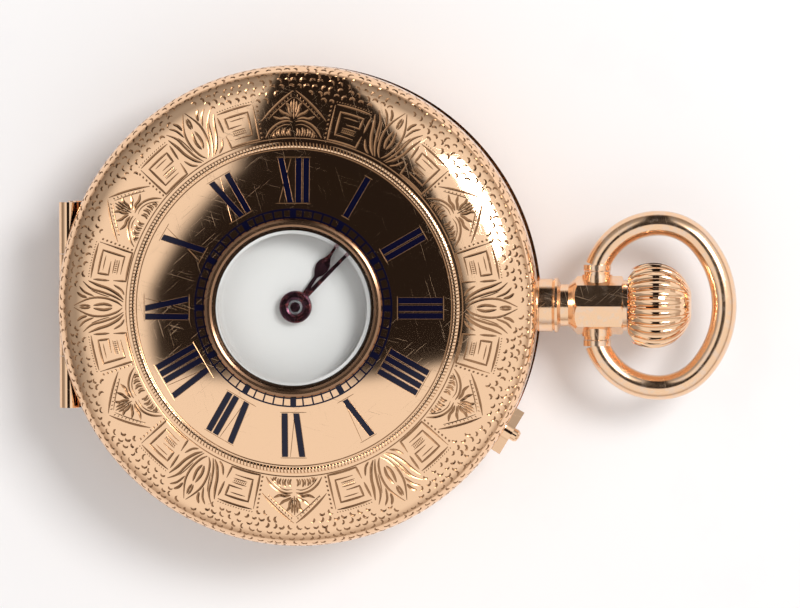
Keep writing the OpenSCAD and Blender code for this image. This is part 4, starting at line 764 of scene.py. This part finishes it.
def hour_ring(name, foot, head, inner, outer, sizes, height_of, hair_lines):
    """Twelve hours, and a minute track of sixty boxes with a solid bar at each hour."""
    builder = bmesh.new()
    for hour, text in enumerate(NUMERALS):
        for start, end, thick in hour_strokes(text, foot, head, sizes):
            if thick or hair_lines:
                width = sizes.bar if thick else sizes.hair
                bar_on(builder, 90 - HOUR_TURN * hour, start, end, width, height_of)
    for minute in range(60):
        width = sizes.track_line if minute % 5 else sizes.bar * 1.05
        bar_on(builder, 90 - MINUTE_TURN * minute, (0, inner), (0, outer), width, height_of, 2)
    ring = finished(builder, name)
    half = sizes.track_line / 2
    for r in (inner, outer):
        low = height_of(r) - ENAMEL_DEPTH
        line = [(r - half, low), (r + half, low),
                (r + half, height_of(r + half)), (r - half, height_of(r - half))]
        joined(ring, turned(line, 240, "track_line"))
    return ring


class WATCH_OT_cover_hours(bpy.types.Operator):
    """Lays the blue enamel hours and the minute track in the front cover"""

    bl_idname = "watch.cover_hours"
    bl_label = "Hours on the cover"

    def execute(self, context):
        sizes = context.scene.watch_hours
        ring = hour_ring("cover_hours", sizes.foot_radius, sizes.head_radius, sizes.track_inner,
                         sizes.track_outer, sizes, lambda r: front_height(r) + ENAMEL_PROUD, False)
        add_materials(ring, "blue enamel")
        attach(ring, "front_cover")
        return {"FINISHED"}


class WATCH_OT_dial_hours(bpy.types.Operator):
    """Paints the hours and the minute track on the dial under the cover"""

    bl_idname = "watch.dial_hours"
    bl_label = "Hours on the dial"

    def execute(self, context):
        sizes = context.scene.watch_hours
        ring = hour_ring("dial_hours", sizes.dial_foot, sizes.dial_head, sizes.dial_head + DIAL_TRACK_INNER,
                         sizes.dial_head + DIAL_TRACK_OUTER, sizes, lambda r: DIAL_TOP + ENAMEL_PROUD, True)
        add_materials(ring, "black enamel")
        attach(ring, "case")
        return {"FINISHED"}


class WATCH_OT_hand_hub(bpy.types.Operator):
    """Turns the stepped hub at the middle of the minute hand"""

    bl_idname = "watch.hand_hub"
    bl_label = "Hub of the hands"

    def execute(self, context):
        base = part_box("minute_hand")[0].z
        steps = [(0.01, 0.33), (0.26, 0.33), (0.33, 0.27), (0.4, 0.2), (0.52, 0.2), (0.6, 0.26),
                 (0.72, 0.26), (0.8, 0.17), (0.94, 0.17), (1.02, 0.24), (1.1, 0.22), (1.14, 0.12),
                 (1.14, 0.02), (0.01, 0.02)]
        hub = turned([(r * MM, base + z * MM) for r, z in steps], 72, "hand_hub", 40)
        add_materials(hub, "brown blued steel")
        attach(hub, "cannon_pinion")
        return {"FINISHED"}


# Helpers for nodes, and the two effects that several finishes share

NODE_COLUMNS, NODE_WIDTH, NODE_HEIGHT = 6, 220, 300


def set_inputs(node, inputs):
    """Gives each input, by name or number, a value or a link from another node's output."""
    for name, value in inputs.items():
        if isinstance(value, bpy.types.NodeSocket):
            node.id_data.links.new(value, node.inputs[name])
        else:
            node.inputs[name].default_value = value


def add_node(tree, kind, inputs=None, **settings):
    row, column = divmod(len(tree.nodes), NODE_COLUMNS)
    node = tree.nodes.new(kind)
    node.location = (column - NODE_COLUMNS) * NODE_WIDTH, -row * NODE_HEIGHT
    for name, value in settings.items():
        setattr(node, name, value)
    set_inputs(node, inputs or {})
    return node


def maths(tree, operation, first, second):
    return add_node(tree, "ShaderNodeMath", {0: first, 1: second}, operation=operation).outputs["Value"]


def ranged(tree, value, source, target=(0, 1), kind="SMOOTHSTEP"):
    """Value of the source range brought to the target range."""
    ends = zip(("From Min", "From Max", "To Min", "To Max"), (*source, *target))
    node = add_node(tree, "ShaderNodeMapRange", {"Value": value, **dict(ends)}, interpolation_type=kind)
    return node.outputs["Result"]


def mixed(tree, factor, first, second):
    """Colour between two colours."""
    inputs = {"Factor": factor, 6: first, 7: second}
    return add_node(tree, "ShaderNodeMix", inputs, data_type="RGBA").outputs[2]


def new_group(name, **inputs):
    """Shader group with number inputs and one output, the mask."""
    group = bpy.data.node_groups.new(name, "ShaderNodeTree")
    kind = "NodeSocketFloat"
    for title, value in inputs.items():
        group.interface.new_socket(title, in_out="INPUT", socket_type=kind).default_value = value
    group.interface.new_socket("Mask", in_out="OUTPUT", socket_type=kind)
    return group, add_node(group, "NodeGroupInput").outputs, add_node(group, "NodeGroupOutput")


def fine_scratches(name):
    """Group of hair scratches in three directions: Mask is 1 in a scratch, and Size widens them."""
    group, given, made = new_group(name, Size=1)
    place = add_node(group, "ShaderNodeTexCoord").outputs["Object"]
    sides = {0: (0.000025, 0.003, 0.003), "Scale": given["Size"]}
    size = add_node(group, "ShaderNodeVectorMath", sides, operation="SCALE").outputs["Vector"]
    lines = []
    for degrees in (17, 74, 131):
        turn = {"Vector": place, "Rotation": (0, 0, math.radians(degrees)), "Scale": size}
        along = add_node(group, "ShaderNodeMapping", turn, vector_type="TEXTURE").outputs["Vector"]
        noise = {"Vector": along, "Scale": 1, "Detail": 0, "Distortion": 0.25}
        cloud = add_node(group, "ShaderNodeTexNoise", noise).outputs["Fac"]
        lines.append(ranged(group, cloud, (0.79, 0.85)))
    first, second, third = lines
    both = maths(group, "MAXIMUM", first, second)
    set_inputs(made, {"Mask": maths(group, "MAXIMUM", both, third)})
    return group


def soft_patches(name):
    """Group of soft uneven patches: Mask is 1 in a patch, and Cover says how much they cover."""
    group, given, made = new_group(name, Scale=300, Cover=0.5)
    place = add_node(group, "ShaderNodeTexCoord").outputs["Object"]
    noise = {"Vector": place, "Scale": given["Scale"], "Detail": 5, "Roughness": 0.62}
    cloud = add_node(group, "ShaderNodeTexNoise", noise).outputs["Fac"]
    start = maths(group, "SUBTRACT", 0.78, maths(group, "MULTIPLY", given["Cover"], 0.5))
    end = maths(group, "ADD", start, 0.14)
    set_inputs(made, {"Mask": ranged(group, cloud, (start, end))})
    return group


def mask_of(tree, maker, **values):
    """Mask of a shared group, which its maker makes when it is first asked for."""
    name = maker.__name__.replace("_", " ").capitalize()
    group = bpy.data.node_groups.get(name) or maker(name)
    return add_node(tree, "ShaderNodeGroup", values, node_tree=group).outputs["Mask"]


def two_tones(tree, shader, first, second, mask, share=1.0):
    """Mixes two colours by a mask into the shader's base colour."""
    amount = maths(tree, "MULTIPLY", mask, share)
    set_inputs(shader, {"Base Color": mixed(tree, amount, first, second)})


def roughened(tree, shader, mask, low, high):
    set_inputs(shader, {"Roughness": ranged(tree, mask, (0, 1), (low, high), "LINEAR")})


def raised(tree, shader, mask, depth, strength):
    """Bump from a mask; a negative depth presses it in."""
    relief = {"Height": mask, "Strength": strength, "Distance": abs(depth)}
    bump = add_node(tree, "ShaderNodeBump", relief, invert=depth < 0)
    set_inputs(shader, {"Normal": bump.outputs["Normal"]})


# Finishes: each fills in one material round its Principled shader


def metal(tree, shader, base, other, roughness, scale, cover, tone, scratch_size=1.0, wear=0.3):
    """Metal with duller patches of a second tone, and hair scratches."""
    set_inputs(shader, {"Metallic": 1})
    patches = mask_of(tree, soft_patches, Scale=scale, Cover=cover)
    scratches = mask_of(tree, fine_scratches, Size=scratch_size)
    two_tones(tree, shader, base, other, patches, tone)
    uneven = maths(tree, "MAXIMUM", maths(tree, "MULTIPLY", patches, tone * 0.5), scratches)
    roughened(tree, shader, uneven, roughness, min(1, roughness + wear))
    raised(tree, shader, scratches, -1e-6, 0.4)


def blued_steel(tree, shader, base):
    """Blued steel that turns purple in patches."""
    purple = (base[0] * 1.9 + 0.01, base[1] * 1.2, base[2] * 0.7, 1)
    metal(tree, shader, base, purple, roughness=0.2, scale=1500, cover=0.6, tone=0.7, scratch_size=0.5)


def frosted_gilt(tree, shader, base, other):
    """Frosted gilding: fine grain over the whole plate."""
    set_inputs(shader, {"Metallic": 1})
    patches = mask_of(tree, soft_patches, Scale=350, Cover=0.5)
    grain = mask_of(tree, soft_patches, Scale=14000, Cover=0.6)
    two_tones(tree, shader, base, other, patches, 0.35)
    roughened(tree, shader, grain, 0.38, 0.55)
    raised(tree, shader, grain, 4e-6, 0.5)


def enamel(tree, shader, base):
    """Glossy fired enamel with faint specks."""
    set_inputs(shader, {"Roughness": 0.12, "Specular IOR Level": 0.25, "Coat Weight": 0.12,
                        "Coat Roughness": 0.03})
    specks = mask_of(tree, soft_patches, Scale=1700, Cover=0.12)
    darker = tuple(c * 0.72 for c in base[:3]) + (1,)
    two_tones(tree, shader, base, darker, specks, 0.5)
    raised(tree, shader, specks, -1e-6, 0.3)


def clear_glass(tree, shader, base):
    """Clear glass that lets the light through to what is under it."""
    set_inputs(shader, {"Base Color": base, "Roughness": 0, "IOR": 1.46, "Transmission Weight": 1})
    raised(tree, shader, mask_of(tree, soft_patches, Scale=2200, Cover=0.15), 3e-7, 0.3)
    clear = add_node(tree, "ShaderNodeBsdfTransparent").outputs["BSDF"]
    path = add_node(tree, "ShaderNodeLightPath").outputs
    either = maths(tree, "MAXIMUM", path["Is Shadow Ray"], path["Is Diffuse Ray"])
    both = add_node(tree, "ShaderNodeMixShader", {"Fac": either, 1: shader.outputs["BSDF"], 2: clear})
    set_inputs(tree.nodes["Material Output"], {"Surface": both.outputs["Shader"]})


def jewel(tree, shader, base, other):
    """Deep red stone with a high polish."""
    set_inputs(shader, {"Roughness": 0.05, "IOR": 1.76, "Coat Weight": 0.4})
    two_tones(tree, shader, base, other, mask_of(tree, soft_patches, Scale=3000, Cover=0.5), 0.5)


def matt_paper(tree, shader, base):
    """Matt pale paper with a soft tooth."""
    set_inputs(shader, {"Specular IOR Level": 0.1, "Roughness": 0.9})
    cooler = (base[0] * 0.985, base[1] * 0.985, base[2] * 0.99, 1)
    two_tones(tree, shader, base, cooler, mask_of(tree, soft_patches, Scale=90, Cover=0.5))


# Each finish: what makes it, its colours, and its numbers
FINISHES = {
    "polished gold": (
        metal, "gold pale_gold", dict(roughness=0.06, scale=1400, cover=0.25, tone=0.12, wear=0.13)),
    "worn gold": (metal, "gold pale_gold", dict(roughness=0.15, scale=1600, cover=0.6, tone=0.45, wear=0.2)),
    "bezel gold": (metal, "bezel_gold gold", dict(roughness=0.2, scale=1600, cover=0.2, tone=0.2)),
    # The cut gold's dark base colour is partly dirt in the cuts and partly painted shade in the grooves
    "cut gold": (metal, "cut_gold gold", dict(roughness=0.22, scale=2500, cover=0.4, tone=0.3)),
    "brushed steel": (
        metal, "steel steel_shade", dict(roughness=0.22, scale=900, cover=0.5, tone=0.5, scratch_size=0.5)),
    "polished brass": (
        metal, "brass brass_shade", dict(roughness=0.18, scale=900, cover=0.45, tone=0.4, scratch_size=0.5)),
    "brown blued steel": (blued_steel, "hand_blue", {}),
    "blued steel": (blued_steel, "screw_blue", {}),
    "frosted gilt": (frosted_gilt, "gilt gilt_shade", {}),
    "blue enamel": (enamel, "enamel_blue", {}),
    "black enamel": (enamel, "enamel_black", {}),
    "white enamel": (enamel, "enamel_white", {}),
    "window glass": (clear_glass, "glass", {}),
    "dial glass": (clear_glass, "glass", {}),
    "red jewel": (jewel, "ruby ruby_cloud", {}),
    "pale paper": (matt_paper, "paper", {}),
}
NODE_FINISHES = {"bow": "worn gold", "pendant": "worn gold", "window_ring": "bezel gold"}
SLOT_FINISHES = {
    "gold": "polished gold", "pin_gold": "polished gold", "window_glass": "window glass",
    "dial_glass": "dial glass", "enamel": "white enamel", "blued_hands": "brown blued steel",
    "steel": "brushed steel", "gilt": "frosted gilt", "ruby": "red jewel", "blued": "blued steel",
    "brass": "polished brass",
}


def finish(name):
    """Material by its name, made when it is first asked for."""
    if name not in bpy.data.materials:
        material = bpy.data.materials.new(name)
        material.use_nodes = True
        tree = material.node_tree
        maker, names, values = FINISHES[name]
        colours = [getattr(bpy.context.scene.watch_colours, key) for key in names.split()]
        maker(tree, tree.nodes["Principled BSDF"], *colours, **values)
    return bpy.data.materials[name]


class WATCH_OT_finishes(bpy.types.Operator):
    """Gives every piece of the frame its finish"""

    bl_idname = "watch.finishes"
    bl_label = "Finishes"

    def execute(self, context):
        for row in frame["record"]["subparts"]:
            look = finish(NODE_FINISHES.get(row["node"]) or SLOT_FINISHES[row["material_slot"]])
            for place in frame["nodes"][row["node"]].material_slots:
                place.link = "OBJECT"
                place.material = look
        return {"FINISHED"}


# Stage: paper, studio light and camera

PAPER_GAP = 0.01 * MM


def studio_world(scene):
    """Bright surroundings with a dark gap from overhead to the far side, for the gold to mirror."""
    stage = scene.watch_stage
    world = bpy.data.worlds.new("studio")
    scene.world = world
    world.use_nodes = True
    tree = world.node_tree
    place = add_node(tree, "ShaderNodeTexCoord").outputs["Generated"]
    parts = add_node(tree, "ShaderNodeSeparateXYZ", {"Vector": place}).outputs
    x, y, z = (parts[axis] for axis in "XYZ")

    # The gap's left and right edges lean, so the X of each follows Y
    left = ranged(tree, y, (-0.02, 0.165), (-0.315, -0.19), "LINEAR")
    right = ranged(tree, y, (-0.05, 0.27), (0.235, 0.15), "LINEAR")
    gap = ranged(tree, maths(tree, "SUBTRACT", x, left), (-0.025, 0.025))
    for edge in (ranged(tree, maths(tree, "SUBTRACT", x, right), (-0.02, 0.02), (1, 0)),
                 ranged(tree, y, (-0.15, -0.125)), ranged(tree, z, (0.05, 0.2))):
        gap = maths(tree, "MULTIPLY", gap, edge)

    # A weaker dark corner lies beyond the upper left, from low down to over half way up
    away = maths(tree, "ADD", maths(tree, "MULTIPLY", x, -0.64), maths(tree, "MULTIPLY", y, 0.77))
    height = ranged(tree, z, (0.6, 0.82), (0.6, 0))
    corner = maths(tree, "MULTIPLY", ranged(tree, away, (0.1, 0.35)), height)
    corner = maths(tree, "MULTIPLY", corner, ranged(tree, z, (0.06, 0.18)))

    light = mixed(tree, ranged(tree, z, (0.1, 0.55)), stage.low_light, stage.high_light)
    shade = mixed(tree, maths(tree, "MAXIMUM", gap, corner), light, stage.dark_gap)
    camera = add_node(tree, "ShaderNodeLightPath").outputs["Is Camera Ray"]
    set_inputs(tree.nodes["Background"], {"Color": mixed(tree, camera, shade, stage.backdrop)})


def soft_lamp(name, towards, distance, size, watts):
    """Square lamp that faces the watch from a direction."""
    data = bpy.data.lights.new(name, "AREA")
    data.size = size
    data.energy = watts
    lamp = new_object(name, data)
    back = Vector(towards).normalized()
    lamp.location = back * distance
    lamp.rotation_mode = "QUATERNION"
    lamp.rotation_quaternion = back.to_track_quat("Z", "Y")


class WATCH_OT_stage(bpy.types.Operator):
    """Lays the paper, lights it and places the camera over the watch"""

    bl_idname = "watch.stage"
    bl_label = "Stage"

    def execute(self, context):
        stage = context.scene.watch_stage
        builder = bmesh.new()
        bmesh.ops.create_grid(builder, x_segments=8, y_segments=8, size=stage.paper_width / 2)
        paper = finished(builder, "paper")
        paper.data.transform(Matrix.Translation((0, 0, CAD_BOX[0].z - PAPER_GAP)))
        add_materials(paper, "pale paper")
        studio_world(context.scene)
        soft_lamp("upper_right_lamp", towards=(0.55, 0.33, 0.9), distance=0.5, size=0.16, watts=1.35)
        camera = new_object("camera", bpy.data.cameras.new("camera"))
        camera.data.lens = stage.lens
        camera.data.clip_start = 0.01
        turn = Matrix.Rotation(stage.tilt, 4, "Y") @ Matrix.Rotation(-stage.nod, 4, "X")
        target = Matrix.Translation((stage.look_x, stage.look_y, stage.look_z))
        camera.matrix_world = target @ turn @ Matrix.Translation((0, 0, stage.distance))
        context.scene.camera = camera
        context.scene.view_settings.view_transform = "Standard"
        return {"FINISHED"}


# Panel, registration and the run


class WATCH_PT_tools(bpy.types.Panel):
    """Lists the steps that dress the watch"""

    bl_label = "Watch"
    bl_idname = "WATCH_PT_tools"
    bl_space_type = "VIEW_3D"
    bl_region_type = "UI"
    bl_category = "Watch"

    def draw(self, context):
        for step in STEPS:
            self.layout.operator(step.bl_idname)
        for group in GROUPS:
            box = self.layout.box()
            settings = getattr(context.scene, group)
            for name in settings.bl_rna.properties.keys():
                if name not in ("rna_type", "name"):
                    box.prop(settings, name)


GROUPS = {
    "watch_covers": WatchCoverSizes,
    "watch_engraving": WatchEngravingSizes,
    "watch_hours": WatchHourSizes,
    "watch_bow": WatchBowSizes,
    "watch_colours": WatchColours,
    "watch_stage": WatchStage,
}
STEPS = (WATCH_OT_stage, WATCH_OT_finishes, WATCH_OT_front_cover, WATCH_OT_bow, WATCH_OT_back_cover,
         WATCH_OT_cover_hours, WATCH_OT_dial_hours, WATCH_OT_hand_hub)


def register():
    for made in (*GROUPS.values(), *STEPS, WATCH_PT_tools):
        bpy.utils.register_class(made)
    for name, group in GROUPS.items():
        setattr(bpy.types.Scene, name, PointerProperty(type=group))


def unregister():
    for name in GROUPS:
        delattr(bpy.types.Scene, name)
    for made in (WATCH_PT_tools, *reversed(STEPS), *reversed(GROUPS.values())):
        bpy.utils.unregister_class(made)


def main():
    register()
    bpy.ops.watch.stage()
    bpy.ops.watch.finishes()
    bpy.ops.watch.front_cover()
    bpy.ops.watch.bow()
    bpy.ops.watch.back_cover()
    bpy.ops.watch.cover_hours()
    bpy.ops.watch.dial_hours()
    bpy.ops.watch.hand_hub()


if __name__ == "__main__":
    main()
